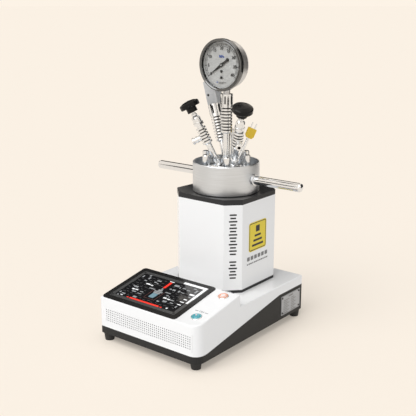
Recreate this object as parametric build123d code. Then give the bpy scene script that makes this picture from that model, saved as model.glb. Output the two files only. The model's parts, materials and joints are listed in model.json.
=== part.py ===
"""Bench-top stirred hydrothermal reactor.

A console base carries a square heating furnace. The pressure vessel hangs in the
furnace by its flange, and a lock ring with two handle bars clamps the head on it.
The head carries a pressure gauge and a pressure sensor on finned cooling stems, two
needle valves, a thermocouple and a burst disc holder.

Frame: millimetres, +Z up, +X to the operator's right, -Y towards the operator.
The origin is on the table under the middle of the base.
"""
from build123d import *

import os
from math import cos, radians, sin, tan

# ---------------------------------------------------------------- clearances
RUN_GAP = 0.06          # radial gap of a running fit
BODY_GAP = 0.3          # gap between pieces that move past each other
SEAT_GAP = 0.05         # gap between faces of pieces that only rest together

# ---------------------------------------------------------------- base housing
BASE_W = 230.0
BASE_D = 330.0
BASE_WALL = 3.0
BASE_CORNER_R = 4.0
BASE_NEAR_R = 18.0      # wide rounding of the corner by the buttons
FOOT_H = 14.6
FOOT_TOP_R = 10.6
FOOT_FLOOR_R = 8.5
FOOT_INSET = 11.0
FOOT_NEAR_INSET = 17.0  # under the widely rounded corner
DECK_Z = 84.3           # flat deck, and the height of the console's front edge
CONSOLE_D = 121.8       # console depth, front edge to rear wall
CONSOLE_SLOPE = 10.5    # degrees
SPLIT_FRONT_Z = 28.2    # seam between black tray and white cover, at the front
SPLIT_REAR_Z = 66.9
SPLIT_RAMP_START = 26.0  # where the seam starts to climb, from the front edge
SPLIT_RAMP_END = 247.6
COVER_EDGE_R = 2.5

# ---------------------------------------------------------------- front grille
GRILLE_INSET = 12.0     # from each side of the base
GRILLE_Z0 = 37.0
GRILLE_H = 31.0
GRILLE_T = 1.4
GRILLE_RIM = 2.0
GRILLE_HOLE = 2.2
GRILLE_PITCH_X = 4.7
GRILLE_PITCH_Z = 4.2

# ---------------------------------------------------------------- console panel
SCREEN_MARGIN = 2.2     # bezel to the console's left, front and rear edges
SCREEN_STRIP_W = 51.0   # strip for the buttons, right of the bezel
SCREEN_R = 7.0
SCREEN_T = 1.5
GLASS_INSET = 10.0
GLASS_R = 2.0
DISPLAY_INSET = 6.0     # display module inside the glass outline
DISPLAY_T = 9.0
BUTTON_R = 9.0
BUTTON_SLEEVE_R = 8.0
BUTTON_CAP_R = 6.3
BUTTON_BODY_L = 13.0
BUTTON_CAP_L = 8.0
BUTTON_PROUD = 1.6
BUTTON_TRAVEL = 1.5
BUTTON_SIDE = 24.2      # button axis from the console's right edge
BUTTON_FRONT = 27.8     # first button, up the slope from the front edge
BUTTON_SPACING = 76.3

# ---------------------------------------------------------------- name plate
PLATE_L = 66.0
PLATE_H = 38.6
PLATE_T = 0.8
PLATE_REAR = 43.2       # plate centre from the rear edge
PLATE_Z = 41.3
PLATE_SCREW_R = 1.9
PLATE_SCREW_INSET = 4.2

# ---------------------------------------------------------------- rear panel
INLET_W = 27.0
INLET_H = 19.8
INLET_DEPTH = 22.0
INLET_FLANGE = 3.0
INLET_FLANGE_T = 2.0
INLET_WALL = 1.6
INLET_X = 62.0          # inlet centre from the base's middle
INLET_Z = 42.0
PIN_W = 2.0
PIN_H = 4.0
PIN_PITCH = 7.0
PIN_L = 15.0
SWITCH_X = 22.0
SWITCH_W = 14.0
SWITCH_H = 20.4
SWITCH_DEPTH = 14.0
SWITCH_RIM = 3.0
ROCKER_TILT = 9.0
ROCKER_PIVOT = 5.5      # pivot depth below the rocker's edges
ROCKER_PIN_R = 1.1
ROCKER_PIN_L = 0.4      # how far each pin reaches into the frame
VENT_SLOTS = 7
VENT_W = 3.0
VENT_H = 26.0
VENT_PITCH = 7.0

# ---------------------------------------------------------------- furnace
FURNACE_W = 155.0
FURNACE_D = 153.8
FURNACE_CHAMFER = 24.2
FURNACE_REAR = 23.9     # from the base's rear edge to the furnace
FURNACE_PLATE_T = 5.6
FURNACE_SHELL_H = 162.5
FURNACE_SHELL_T = 1.5
FURNACE_TOP_T = 10.0
FURNACE_TOP_EDGE = 1.0
DISH_MARGIN = 2.75      # flat floor of the dished top, beyond the lock ring
DISH_ANGLE = 6.0
PAD_T = 8.0             # insulation under the heater block
DRIVE_HOLE_MARGIN = 9.0  # opening under the furnace, round the stirrer's rotor
HEATER_WALL = 20.0
HEATER_H = 140.0
CARTRIDGE_R = 5.0
CARTRIDGE_L = 120.0
CARTRIDGE_COUNT = 4
CARTRIDGE_ANGLE = 45.0

# ---------------------------------------------------------------- pressure vessel
VESSEL_BORE_R = 25.0
VESSEL_WALL = 11.0
VESSEL_FLOOR_T = 12.0
VESSEL_DEPTH = 153.0    # flange underside to vessel bottom
VESSEL_EDGE = 3.0
FLANGE_W = 19.7         # flange beyond the vessel's wall
FLANGE_T = 12.4
SEAL_INSET = 2.5        # seal's inner edge from the bore
SEAL_W = 5.5
SEAL_GROOVE = 2.4
STIR_BAR_R = 4.0
STIR_BAR_L = 34.0

# ---------------------------------------------------------------- head and lock ring
SPIGOT_H = 6.0
HEAD_FLANGE_T = 10.7
CLAMP_W = 4.3           # ledge under the lock ring's lip
HEAD_DISC_T = 16.0
HEAD_CONE_R0 = 36.0
HEAD_CONE_R1 = 27.0
HEAD_CONE_H = 10.0
RING_WALL = 7.25
RING_RIM_T = 4.0
RING_H = 55.8
RING_LIP_T = 11.7
RING_EDGE = 1.2
CLIP_T = 2.0
CLIP_DEPTH = 1.6
CLIP_PROUD = 3.0
BOLT_COUNT = 6
BOLT_INSET = 7.4        # bolt axes from the head disc's edge
BOLT_R = 6.5
BOLT_H = 32.0
BOLT_SHANK_R = 4.0
BOLT_SOCKET_R = 3.6
BOLT_ANGLE = 68.0
HANDLE_R = 8.2
HANDLE_REACH = 168.0    # tip of the bar from the ring's axis
HANDLE_Z = 27.6         # bar axis above the ring's foot
HANDLE_STUD_R = 4.0
HANDLE_STUD_L = 8.0
HANDLE_COLLAR_W = 1.8
HANDLE_COLLAR_L = 4.0
RING_PITCH = 3.0        # lift in one turn of the lock ring

# ---------------------------------------------------------------- finned stems
PORT_DEPTH = 8.0
FIN_PITCH = 5.76
FIN_GAP = 2.5
FIN_CORE_R = 6.2
STEM_FINS = 8
STEM_FIN_R = 11.0
SLEEVE_R = 11.8
SLEEVE_WALL = 2.2
SLEEVE_H = 21.4
SLEEVE_SLOTS = 6
SLEEVE_SLOT_W = 2.6
SLEEVE_SLOT_H = 15.0
SPINE_R = 4.6           # tube inside a sleeve

# ---------------------------------------------------------------- gauge
GAUGE_STEM_R = 7.0
GAUGE_HEX = 18.0
GAUGE_FINS_Z = 65.0     # first fin above the head
GAUGE_NECK_L = 10.62    # from the sleeve to the case
GAUGE_FACE_Y = 22.2     # bezel face in front of the stem
GAUGE_BEZEL_R = 47.5
GAUGE_BEZEL_T = 10.2
GAUGE_LIP = 5.6
BEZEL_EDGE = 1.6
GAUGE_CASE_R = 43.0
GAUGE_CASE_T = 34.0
GAUGE_CASE_WALL = 2.0
GAUGE_BACK_R = 5.0
GAUGE_NECK_R = 6.6
WINDOW_DEPTH = 2.2
WINDOW_T = 2.0
DIAL_DEPTH = 8.4
DIAL_T = 1.0
DIAL_RIM = 0.5          # dial's edge inside the case's outline
DIAL_SCREWS = (11.6, 22.8)  # below the pointer's pin
DIAL_SCREW_R = 2.3
DIAL_SCREW_T = 0.5
POINTER_ZERO = 215.0    # degrees, anticlockwise from +X, seen from the front
POINTER_L = 28.6
POINTER_TAIL = 17.0
POINTER_PIN_R = 1.2
POINTER_T = 0.8
VENT_PLUG_R = 5.0
VENT_PLUG_ANGLE = 138.0
GAUGE_SLEEVE_TURN = -7.0

# ---------------------------------------------------------------- pressure sensor
SENSOR_STEM_R = 6.0
SENSOR_HEX = 15.0
SENSOR_FINS_Z = 46.0
SENSOR_BOX = (24.5, 20.0, 45.0)
SENSOR_HOLE_R = 1.75
SENSOR_OFFSET = 4.5     # block towards the gauge, off the sleeve's axis

# ---------------------------------------------------------------- needle valves
VALVE_TUBE_R = 5.5
VALVE_HEX = 14.0
VALVE_BODY_Z = 46.0     # end of the tube, start of the finned body
VALVE_BODY_R = 9.8
VALVE_FINS = 5
VALVE_NECK_L = 5.0
VALVE_SEAT_Z = 52.0
VALVE_PORT_Z = 56.5
VALVE_PORT_R = 5.2
VALVE_PORT_L = 26.0
VALVE_NUT_R = 6.2       # middle collar of the outlet
VALVE_END_R = 6.8       # collar at the outlet's end
VALVE_COLLAR_L = 4.0
VALVE_PORT_BORE_R = 3.0  # socket in the outlet's end
VALVE_PORT_SOCKET = 12.0
VALVE_PASSAGE_R = 1.25
VALVE_PORT_TURN = {"left_valve": 0.0, "right_valve": -12.0}
VALVE_INLET_R = 1.5
NEEDLE_R = 3.0
BONNET_HEX = 17.0
BONNET_HEX_T = 4.0
BONNET_R = 8.4
BONNET_H = 16.0
KNOB_R = 19.2
KNOB_T = 10.0
KNOB_DOME = 4.0
KNOB_HUB_R = 10.0
KNOB_HUB_H = 9.5
KNOB_LIFT = 7.0         # hub above the bonnet when the valve is shut
KNOB_EDGE = 1.5
VALVE_PITCH = 1.0       # needle lift in one turn of a knob

# ---------------------------------------------------------------- thermocouple
PROBE_R = 3.0
PROBE_HEX = 12.0
PROBE_HEX_Z = 4.0
PROBE_FITTING_R = 4.5
PLUG_Z = 54.0
PLUG_BOX = (16.3, 8.0, 19.4)
PLUG_TAIL_W = 10.0
BLADE = (2.6, 0.9, 11.0)
BLADE_PITCH = 7.9

# ---------------------------------------------------------------- burst disc holder
BURST_R = 2.6
BURST_FITTING_R = 4.0
BURST_HEX = 9.0
BURST_STEM_L = 52.0
BURST_CAP_R = 4.7
BURST_CAP_L = 12.0

# Ports on the head: angle round the head, radius, direction of lean, lean.
# Degrees are measured from +X, anticlockwise from above.
PORTS = {
    "left_valve": (182.0, 19.5, 204.0, 27.0),
    "right_valve": (352.0, 20.0, 325.0, 23.0),
    "thermocouple": (47.0, 20.0, 45.0, 24.0),
    "sensor": (125.0, 21.0, 168.0, 19.5),
    "burst_disc": (88.0, 17.0, 88.0, 0.0),
}

# ---------------------------------------------------------------- stirrer and electrics
MOTOR_R = 21.0
MOTOR_H = 34.0
MOTOR_LIFT = 5.0        # bracket thickness under the motor
BRACKET_W = 70.0
SHAFT_R = 2.5
ROTOR_R = 27.0
ROTOR_T = 6.0
ROTOR_GAP = 3.0
MAGNET_R = 6.0
MAGNET_H = 7.0
MAGNET_PCD = 34.0
SUPPLY_BOX = (96.0, 46.0, 34.0)
BOARD_BOX = (150.0, 76.0, 1.6)
STANDOFF_H = 8.0
STANDOFF_R = 3.0

# ---------------------------------------------------------------- derived places
FRONT_Y = -BASE_D / 2
REAR_Y = BASE_D / 2
TRAY_FLOOR_Z = FOOT_H + BASE_WALL
CONSOLE_REAR_Y = FRONT_Y + CONSOLE_D
CONSOLE_TOP_Z = DECK_Z + CONSOLE_D * tan(radians(CONSOLE_SLOPE))
SLOPE_L = CONSOLE_D / cos(radians(CONSOLE_SLOPE))
SLOPE = Plane(
    origin=(0, FRONT_Y, DECK_Z),
    x_dir=(1, 0, 0),
    z_dir=(0, -sin(radians(CONSOLE_SLOPE)), cos(radians(CONSOLE_SLOPE))),
)
AXIS_Y = REAR_Y - FURNACE_REAR - FURNACE_D / 2
SHELL_Z = DECK_Z + FURNACE_PLATE_T
TOP_PLATE_Z = SHELL_Z + FURNACE_SHELL_H
FURNACE_TOP_Z = TOP_PLATE_Z + FURNACE_TOP_T
VESSEL_R = VESSEL_BORE_R + VESSEL_WALL
FLANGE_R = VESSEL_R + FLANGE_W
HEAD_DISC_R = FLANGE_R - CLAMP_W
RING_R = FLANGE_R + BODY_GAP + RING_WALL
DISH_R = RING_R + DISH_MARGIN
BOLT_PCD = 2 * (HEAD_DISC_R - BOLT_INSET)
HEATER_R = VESSEL_R + HEATER_WALL
CARTRIDGE_PCD = VESSEL_R + HEATER_R
DRIVE_HOLE_R = ROTOR_R + DRIVE_HOLE_MARGIN
HANDLE_COLLAR_R = HANDLE_R + HANDLE_COLLAR_W
CORNER_REACH = (FURNACE_W + FURNACE_D - 2 * FURNACE_CHAMFER) / 2 / 2 ** 0.5
DISH_Z = FURNACE_TOP_Z - (CORNER_REACH - DISH_R) * tan(radians(DISH_ANGLE))
FLANGE_TOP_Z = DISH_Z + FLANGE_T
HEAD_Z = FLANGE_TOP_Z + BODY_GAP
HEAD_DISC_Z = HEAD_Z + HEAD_FLANGE_T
HEAD_SHOULDER_Z = HEAD_DISC_Z + HEAD_DISC_T
HEAD_TOP_Z = HEAD_SHOULDER_Z + HEAD_CONE_H
RING_Z = DISH_Z + BODY_GAP
RING_LIP_Z = HEAD_DISC_Z + BODY_GAP
FIN_STACK = STEM_FINS * FIN_PITCH
VALVE_STACK = VALVE_FINS * FIN_PITCH
VALVE_TOP_Z = VALVE_BODY_Z + VALVE_STACK + VALVE_NECK_L
BONNET_TOP_Z = VALVE_TOP_Z + BONNET_H + BONNET_HEX_T
KNOB_Z = BONNET_TOP_Z + KNOB_LIFT
NEEDLE_TOP_Z = KNOB_Z + KNOB_HUB_H / 2
SLEEVE_TOP_Z = HEAD_TOP_Z + GAUGE_FINS_Z + FIN_STACK + SLEEVE_H
GAUGE_Z = SLEEVE_TOP_Z + GAUGE_NECK_L + GAUGE_CASE_R
GAUGE_Y = AXIS_Y - GAUGE_FACE_Y
WINDOW_R = GAUGE_CASE_R + 1.0


# ================================================================ small helpers
def turned(points):
    """Solid of revolution about Z from (radius, height) points."""
    outline = Polyline(*[(r, 0, z) for r, z in points], close=True)
    return revolve(make_face(outline), Axis.Z, 360)


def tube(r_out, r_in, z0, z1):
    """Hollow cylinder from z0 to z1."""
    return turned([(r_in, z0), (r_out, z0), (r_out, z1), (r_in, z1)])


def rod(r, z0, z1):
    """Solid cylinder on the Z axis from z0 to z1."""
    return Pos(0, 0, z0) * Cylinder(r, z1 - z0, align=(Align.CENTER, Align.CENTER, Align.MIN))


def slab(x, y, z, z0=0.0):
    """Box centred on Z, standing on z0."""
    return Pos(0, 0, z0) * Box(x, y, z, align=(Align.CENTER, Align.CENTER, Align.MIN))


def hexagon(across_flats, z0, z1):
    """Hexagonal prism from z0 to z1."""
    flat = RegularPolygon(across_flats / 2, 6, major_radius=False)
    return Pos(0, 0, z0) * extrude(flat, z1 - z0)


def rounded_slab(x, y, z, r, z0=0.0):
    """Slab with rounded vertical corners."""
    return Pos(0, 0, z0) * extrude(RectangleRounded(x, y, r), z)


def on_axis(solid, z=0.0):
    """Place a solid on the furnace's axis."""
    return Pos(0, AXIS_Y, z) * solid


def ring_of(count, radius, start=0.0):
    """Points evenly spaced on a circle."""
    angles = [radians(start + 360.0 * i / count) for i in range(count)]
    return [(radius * cos(a), radius * sin(a)) for a in angles]


def port_frame(name):
    """Frame of a head port: Z leans along the fitting, X points outward and down."""
    angle, radius, lean_to, lean = PORTS[name]
    a, b, t = radians(angle), radians(lean_to), radians(lean)
    origin = (radius * cos(a), AXIS_Y + radius * sin(a), HEAD_TOP_Z)
    x_dir = (cos(t) * cos(b), cos(t) * sin(b), -sin(t))
    z_dir = (sin(t) * cos(b), sin(t) * sin(b), cos(t))
    return Plane(origin=origin, x_dir=x_dir, z_dir=z_dir).location


def octagon(width, depth, chamfer):
    """Rectangle with its four corners cut off, centred on the origin."""
    w, d, c = width / 2, depth / 2, chamfer
    corners = [(w, d - c), (w - c, d), (c - w, d), (-w, d - c)]
    corners += [(-x, -y) for x, y in corners]
    return make_face(Polyline(*corners, close=True))


def octagon_prism(inset, height, z0):
    """Prism of the furnace's outline, drawn in by inset."""
    chamfer = FURNACE_CHAMFER - inset * (2 - 2 ** 0.5)
    outline = octagon(FURNACE_W - 2 * inset, FURNACE_D - 2 * inset, chamfer)
    return on_axis(extrude(outline, height), z0)


# ================================================================ base housing
def side_profile(points, inset=0.0):
    """Extrude a (y, z) outline across the base, drawn in by inset."""
    outline = make_face(Polyline(*[(0, y, z) for y, z in points], close=True))
    if inset:
        outline = offset(outline, amount=-inset, kind=Kind.INTERSECTION)
    return extrude(outline, BASE_W, dir=(1, 0, 0), both=True)


def base_plan(inset):
    """Outline of the base from above, drawn in by inset, with one wide corner."""
    plan = Rectangle(BASE_W - 2 * inset, BASE_D - 2 * inset)
    plan = fillet(plan.vertices().sort_by(towards_near_corner)[:3], BASE_CORNER_R - inset)
    return fillet(plan.vertices().sort_by(towards_near_corner)[-1], BASE_NEAR_R - inset)


def towards_near_corner(vertex):
    return vertex.X - vertex.Y


def housing(inset=0.0):
    """Envelope of tray and cover together, drawn in by inset on every side."""
    body = side_profile([
        (FRONT_Y, FOOT_H), (REAR_Y, FOOT_H), (REAR_Y, DECK_Z),
        (CONSOLE_REAR_Y, DECK_Z), (CONSOLE_REAR_Y, CONSOLE_TOP_Z), (FRONT_Y, DECK_Z),
    ], inset)
    return body & extrude(base_plan(inset), CONSOLE_TOP_Z * 2)


def above_seam():
    """Everything over the seam between tray and cover."""
    ramp_start = FRONT_Y + SPLIT_RAMP_START
    ramp_end = FRONT_Y + SPLIT_RAMP_END
    sky = CONSOLE_TOP_Z * 2
    return side_profile([
        (FRONT_Y - BASE_WALL, SPLIT_FRONT_Z), (ramp_start, SPLIT_FRONT_Z),
        (ramp_end, SPLIT_REAR_Z), (REAR_Y + BASE_WALL, SPLIT_REAR_Z),
        (REAR_Y + BASE_WALL, sky), (FRONT_Y - BASE_WALL, sky),
    ])


def base_tray():
    """Black lower housing with its climbing side cheeks, rear cut-outs and standoffs."""
    tray = housing() - above_seam() - housing(BASE_WALL)
    for x, y in board_corners():
        tray += Pos(x, y, TRAY_FLOOR_Z) * rod(STANDOFF_R, 0, STANDOFF_H)
    tray -= Pos(-INLET_X, REAR_Y, INLET_Z) * Box(INLET_W, 4 * BASE_WALL, INLET_H)
    tray -= Pos(-SWITCH_X, REAR_Y, INLET_Z) * Box(SWITCH_W + 2, 4 * BASE_WALL, SWITCH_H + 2)
    for i in range(VENT_SLOTS):
        x = SWITCH_X + VENT_PITCH * i
        tray -= Pos(x, REAR_Y, INLET_Z) * Box(VENT_W, 4 * BASE_WALL, VENT_H)
    return tray


def console_cover():
    """White upper housing: sloped console, deck and walls, with its openings."""
    shell = housing()
    top = [e for e in shell.edges() if e.center().Z > SPLIT_REAR_Z]
    rim = [e for e in top if e.center().Z > DECK_Z - SEAT_GAP and not is_foot_of_console(e)]
    shell = fillet(rim, COVER_EDGE_R)
    cover = (shell & above_seam()) - housing(BASE_WALL)
    cover -= grille_place() * Box(grille_width(), 2 * GRILLE_T, GRILLE_H)
    window = Box(grille_width() - 2 * GRILLE_RIM, 4 * BASE_WALL, GRILLE_H - 2 * GRILLE_RIM)
    cover -= grille_place() * window
    opening = screen_size(GLASS_INSET + DISPLAY_INSET - BODY_GAP)
    cover -= screen_place() * slab(*opening, 4 * BASE_WALL, -2 * BASE_WALL)
    for i in range(2):
        cover -= button_place(i) * rod(BUTTON_SLEEVE_R + RUN_GAP, -4 * BASE_WALL, BASE_WALL)
    cover -= on_axis(rod(DRIVE_HOLE_R, DECK_Z - 2 * BASE_WALL, DECK_Z + BASE_WALL))
    return cover


def is_foot_of_console(edge):
    """True for the inner edge where the console's rear wall meets the deck."""
    c = edge.center()
    return abs(c.Y - CONSOLE_REAR_Y) < 1 and abs(c.Z - DECK_Z) < 1


def feet():
    """Four tapered rubber feet under the tray's corners."""
    foot = turned([(0, 0), (FOOT_FLOOR_R, 0), (FOOT_TOP_R, FOOT_H), (0, FOOT_H)])
    insets = {corner: FOOT_INSET for corner in ((-1, -1), (-1, 1), (1, 1))}
    insets[(1, -1)] = FOOT_NEAR_INSET
    return [
        Pos(sx * (BASE_W / 2 - inset), sy * (BASE_D / 2 - inset), 0) * foot
        for (sx, sy), inset in insets.items()
    ]


def grille_width():
    return BASE_W - 2 * GRILLE_INSET


def grille_place():
    return Pos(0, FRONT_Y, GRILLE_Z0 + GRILLE_H / 2)


def front_grille():
    """Perforated panel let into the cover's front wall."""
    width = grille_width() - 2 * SEAT_GAP
    height = GRILLE_H - 2 * SEAT_GAP
    columns = int((width - 2 * GRILLE_RIM - GRILLE_HOLE) / GRILLE_PITCH_X) + 1
    rows = int((height - 2 * GRILLE_RIM - GRILLE_HOLE) / GRILLE_PITCH_Z) + 1
    holes = GridLocations(GRILLE_PITCH_X, GRILLE_PITCH_Z, columns, rows)
    face = Rectangle(width, height) - holes * Rectangle(GRILLE_HOLE, GRILLE_HOLE)
    panel = extrude(face, GRILLE_T)
    return grille_place() * Rot(90, 0, 0) * Pos(0, 0, -GRILLE_T) * panel


# ================================================================ console panel
def screen_size(inset=0.0):
    """Width and length on the slope of the bezel's outline, drawn in by inset."""
    width = BASE_W - SCREEN_MARGIN - SCREEN_STRIP_W - 2 * inset
    length = SLOPE_L - 2 * SCREEN_MARGIN - 2 * inset
    return width, length


def screen_place():
    width, length = screen_size()
    x = -BASE_W / 2 + SCREEN_MARGIN + width / 2
    return SLOPE.location * Pos(x, SCREEN_MARGIN + length / 2, 0)


def screen_bezel():
    """Black frame round the touch screen, with a shallow inner step."""
    frame = rounded_slab(*screen_size(), SCREEN_T, SCREEN_R)
    frame = chamfer(frame.faces().sort_by(Axis.Z)[-1].edges(), SCREEN_T / 3)
    frame -= rounded_slab(*screen_size(GLASS_INSET - SEAT_GAP), 2 * SCREEN_T, GLASS_R, -SCREEN_T / 2)
    return screen_place() * frame


def touch_glass():
    """Touch screen glass in the bezel's opening."""
    return screen_place() * rounded_slab(*screen_size(GLASS_INSET), SCREEN_T * 0.8, GLASS_R)


def display_module():
    """Display behind the glass, let through the cover."""
    size = screen_size(GLASS_INSET + DISPLAY_INSET)
    return screen_place() * slab(*size, DISPLAY_T, -DISPLAY_T)


def button_place(index):
    """Frame of a button: on the slope, in the strip right of the screen."""
    x = BASE_W / 2 - BUTTON_SIDE
    return SLOPE.location * Pos(x, BUTTON_FRONT + index * BUTTON_SPACING, 0)


def button_ring(index):
    """Metal ring of a push button, with its sleeve and switch cup below the panel."""
    bore_r = BUTTON_CAP_R + BODY_GAP
    ring = turned([
        (bore_r, -BUTTON_BODY_L + BASE_WALL / 2), (bore_r, BUTTON_PROUD * 0.75),
        (bore_r + 0.5, BUTTON_PROUD), (BUTTON_R - 0.8, BUTTON_PROUD), (BUTTON_R, BUTTON_PROUD / 2),
        (BUTTON_R, 0), (BUTTON_SLEEVE_R, 0), (BUTTON_SLEEVE_R, -BUTTON_BODY_L),
        (0, -BUTTON_BODY_L), (0, -BUTTON_BODY_L + BASE_WALL / 2),
    ])
    return button_place(index) * ring


def button_cap(index):
    """Moving cap of a push button, slightly domed."""
    top = BUTTON_PROUD + BUTTON_TRAVEL / 2
    cap = turned([
        (0, top - BUTTON_CAP_L), (BUTTON_CAP_R, top - BUTTON_CAP_L),
        (BUTTON_CAP_R, top - 0.7), (BUTTON_CAP_R - 1.2, top), (0, top + 0.2),
    ])
    return button_place(index) * cap


# ================================================================ side and rear fittings
def plate_place():
    """Frame on the right side wall, Z outward, X towards the rear."""
    side = Plane(origin=(BASE_W / 2, REAR_Y - PLATE_REAR, PLATE_Z), x_dir=(0, 1, 0), z_dir=(1, 0, 0))
    return side.location


def name_plate():
    """Bare metal plate on the right side."""
    return plate_place() * rounded_slab(PLATE_L, PLATE_H, PLATE_T, 1.5)


def name_plate_screws():
    """Four pan-head screws through the plate's corners."""
    x = PLATE_L / 2 - PLATE_SCREW_INSET
    y = PLATE_H / 2 - PLATE_SCREW_INSET
    r = PLATE_SCREW_R
    head = turned([(0, 0), (r, 0), (r, r * 0.3), (r * 0.6, r * 0.6), (0, r * 0.7)])
    return [plate_place() * Pos(sx * x, sy * y, PLATE_T) * head for sx in (-1, 1) for sy in (-1, 1)]


def rear_place(x):
    """Frame on the rear wall at a distance left of centre, Z outward, Y up."""
    return Plane(origin=(-x, REAR_Y, INLET_Z), x_dir=(-1, 0, 0), z_dir=(0, 1, 0)).location


def power_inlet():
    """Three-pin appliance inlet: flange, socket cup and pins."""
    flange = rounded_slab(INLET_W + 2 * INLET_FLANGE, INLET_H + 2 * INLET_FLANGE, INLET_FLANGE_T, 2)
    cup = slab(INLET_W - 2 * SEAT_GAP, INLET_H - 2 * SEAT_GAP, INLET_DEPTH, -INLET_DEPTH)
    depth = INLET_DEPTH - 2 * INLET_WALL
    cavity = slab(INLET_W - 2 * INLET_WALL, INLET_H - 2 * INLET_WALL, 2 * INLET_DEPTH, -depth)
    inlet = (flange + cup) - cavity
    for x, y in ((-PIN_PITCH, -1.0), (0, 2.0), (PIN_PITCH, -1.0)):
        inlet += Pos(x, y, 0) * slab(PIN_W, PIN_H, PIN_L, -depth)
    return rear_place(INLET_X) * inlet


def switch_frame():
    """Frame of the rear rocker switch, with pivot holes for the rocker."""
    flange = rounded_slab(SWITCH_W + 2 * SWITCH_RIM, SWITCH_H + 2 * SWITCH_RIM, INLET_FLANGE_T, 2)
    cup = slab(SWITCH_W + 2 - 2 * SEAT_GAP, SWITCH_H + 2 - 2 * SEAT_GAP, SWITCH_DEPTH, -SWITCH_DEPTH)
    cavity = slab(SWITCH_W, SWITCH_H, 2 * SWITCH_DEPTH, BASE_WALL / 2 - SWITCH_DEPTH)
    pivot = Pos(0, 0, INLET_FLANGE_T - ROCKER_PIVOT) * Rot(0, 90, 0)
    reach = SWITCH_W / 2 + ROCKER_PIN_L + BODY_GAP
    frame = (flange + cup) - cavity - pivot * rod(ROCKER_PIN_R + RUN_GAP, -reach, reach)
    return rear_place(SWITCH_X) * frame


def power_rocker():
    """Rocker of the rear switch, resting in its off position."""
    half_h = SWITCH_H / 2 - 1.2
    half_w = SWITCH_W / 2 - BODY_GAP
    dip = half_h * tan(radians(ROCKER_TILT))
    outline = Polyline(
        (0, -half_h, ROCKER_PIVOT), (0, 0, ROCKER_PIVOT - dip), (0, half_h, ROCKER_PIVOT),
        (0, half_h * 0.45, -ROCKER_PIVOT * 0.6), (0, -half_h * 0.45, -ROCKER_PIVOT * 0.6), close=True)
    rocker = extrude(make_face(outline), half_w, dir=(1, 0, 0), both=True)
    reach = SWITCH_W / 2 + ROCKER_PIN_L
    rocker += Rot(0, 90, 0) * rod(ROCKER_PIN_R, -reach, reach)
    place = Pos(0, 0, INLET_FLANGE_T - ROCKER_PIVOT) * Rot(ROCKER_TILT, 0, 0)
    return rear_place(SWITCH_X) * place * rocker


# ================================================================ furnace
def furnace_base_plate():
    """Black plate between the deck and the furnace shell."""
    plate = octagon_prism(0, FURNACE_PLATE_T, DECK_Z)
    return plate - on_axis(rod(DRIVE_HOLE_R, 0, FURNACE_PLATE_T * 2), DECK_Z - FURNACE_PLATE_T / 2)


def furnace_shell():
    """White folded jacket with chamfered corners."""
    outer = octagon_prism(0, FURNACE_SHELL_H, SHELL_Z)
    return outer - octagon_prism(FURNACE_SHELL_T, FURNACE_SHELL_H * 2, SHELL_Z - FURNACE_SHELL_H / 2)


def furnace_top_plate():
    """Black top plate, dished towards the lock ring, with the vessel's bore."""
    plate = octagon_prism(0, FURNACE_TOP_T, TOP_PLATE_Z)
    plate = chamfer(plate.faces().sort_by(Axis.Z)[-1].edges(), FURNACE_TOP_EDGE)
    reach = CORNER_REACH * 1.5
    rise = (reach - DISH_R) * tan(radians(DISH_ANGLE))
    dish = turned([(0, 0), (DISH_R, 0), (reach, rise), (0, rise)])
    plate -= on_axis(dish, DISH_Z)
    return plate - on_axis(rod(VESSEL_R + BODY_GAP, -FURNACE_TOP_T, FURNACE_TOP_T), DISH_Z)


def insulation():
    """Fibre block between the shell and the heater, with a pad under the heater."""
    block = octagon_prism(FURNACE_SHELL_T + BODY_GAP, FURNACE_SHELL_H, SHELL_Z)
    return block - on_axis(rod(HEATER_R + BODY_GAP, 0, FURNACE_SHELL_H), SHELL_Z + PAD_T)


def heater_block():
    """Aluminium heating mantle with the vessel's bore and four cartridge holes."""
    block = tube(HEATER_R, VESSEL_R + BODY_GAP, 0, HEATER_H)
    for x, y in ring_of(CARTRIDGE_COUNT, CARTRIDGE_PCD / 2, CARTRIDGE_ANGLE):
        block -= Pos(x, y, 0) * rod(CARTRIDGE_R + SEAT_GAP, HEATER_H - CARTRIDGE_L, HEATER_H + 1)
    return on_axis(block, SHELL_Z + PAD_T)


def cartridge_heaters():
    """Four cartridge heaters in the heater block."""
    cartridge = rod(CARTRIDGE_R, HEATER_H - CARTRIDGE_L + SEAT_GAP, HEATER_H)
    places = ring_of(CARTRIDGE_COUNT, CARTRIDGE_PCD / 2, CARTRIDGE_ANGLE)
    return [on_axis(Pos(x, y, 0) * cartridge, SHELL_Z + PAD_T) for x, y in places]


# ================================================================ vessel
def vessel():
    """Thick-walled pressure vessel, hung by its flange in the furnace's top plate."""
    bottom = -VESSEL_DEPTH
    groove = FLANGE_T - SEAL_GROOVE
    seal_r = VESSEL_BORE_R + SEAL_INSET
    body = turned([
        (0, bottom), (VESSEL_R - VESSEL_EDGE, bottom), (VESSEL_R, bottom + VESSEL_EDGE),
        (VESSEL_R, 0), (FLANGE_R, 0), (FLANGE_R, FLANGE_T), (seal_r + SEAL_W, FLANGE_T),
        (seal_r + SEAL_W, groove), (seal_r, groove), (seal_r, FLANGE_T), (VESSEL_BORE_R, FLANGE_T),
        (VESSEL_BORE_R, bottom + VESSEL_FLOOR_T), (0, bottom + VESSEL_FLOOR_T),
    ])
    return on_axis(body, DISH_Z)


def vessel_seal():
    """Flat seal in the vessel's face groove."""
    top = FLANGE_T + BODY_GAP - SEAT_GAP
    r = VESSEL_BORE_R + SEAL_INSET
    seal = tube(r + SEAL_W - SEAT_GAP, r + SEAT_GAP, FLANGE_T - SEAL_GROOVE, top)
    return on_axis(seal, DISH_Z)


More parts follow.
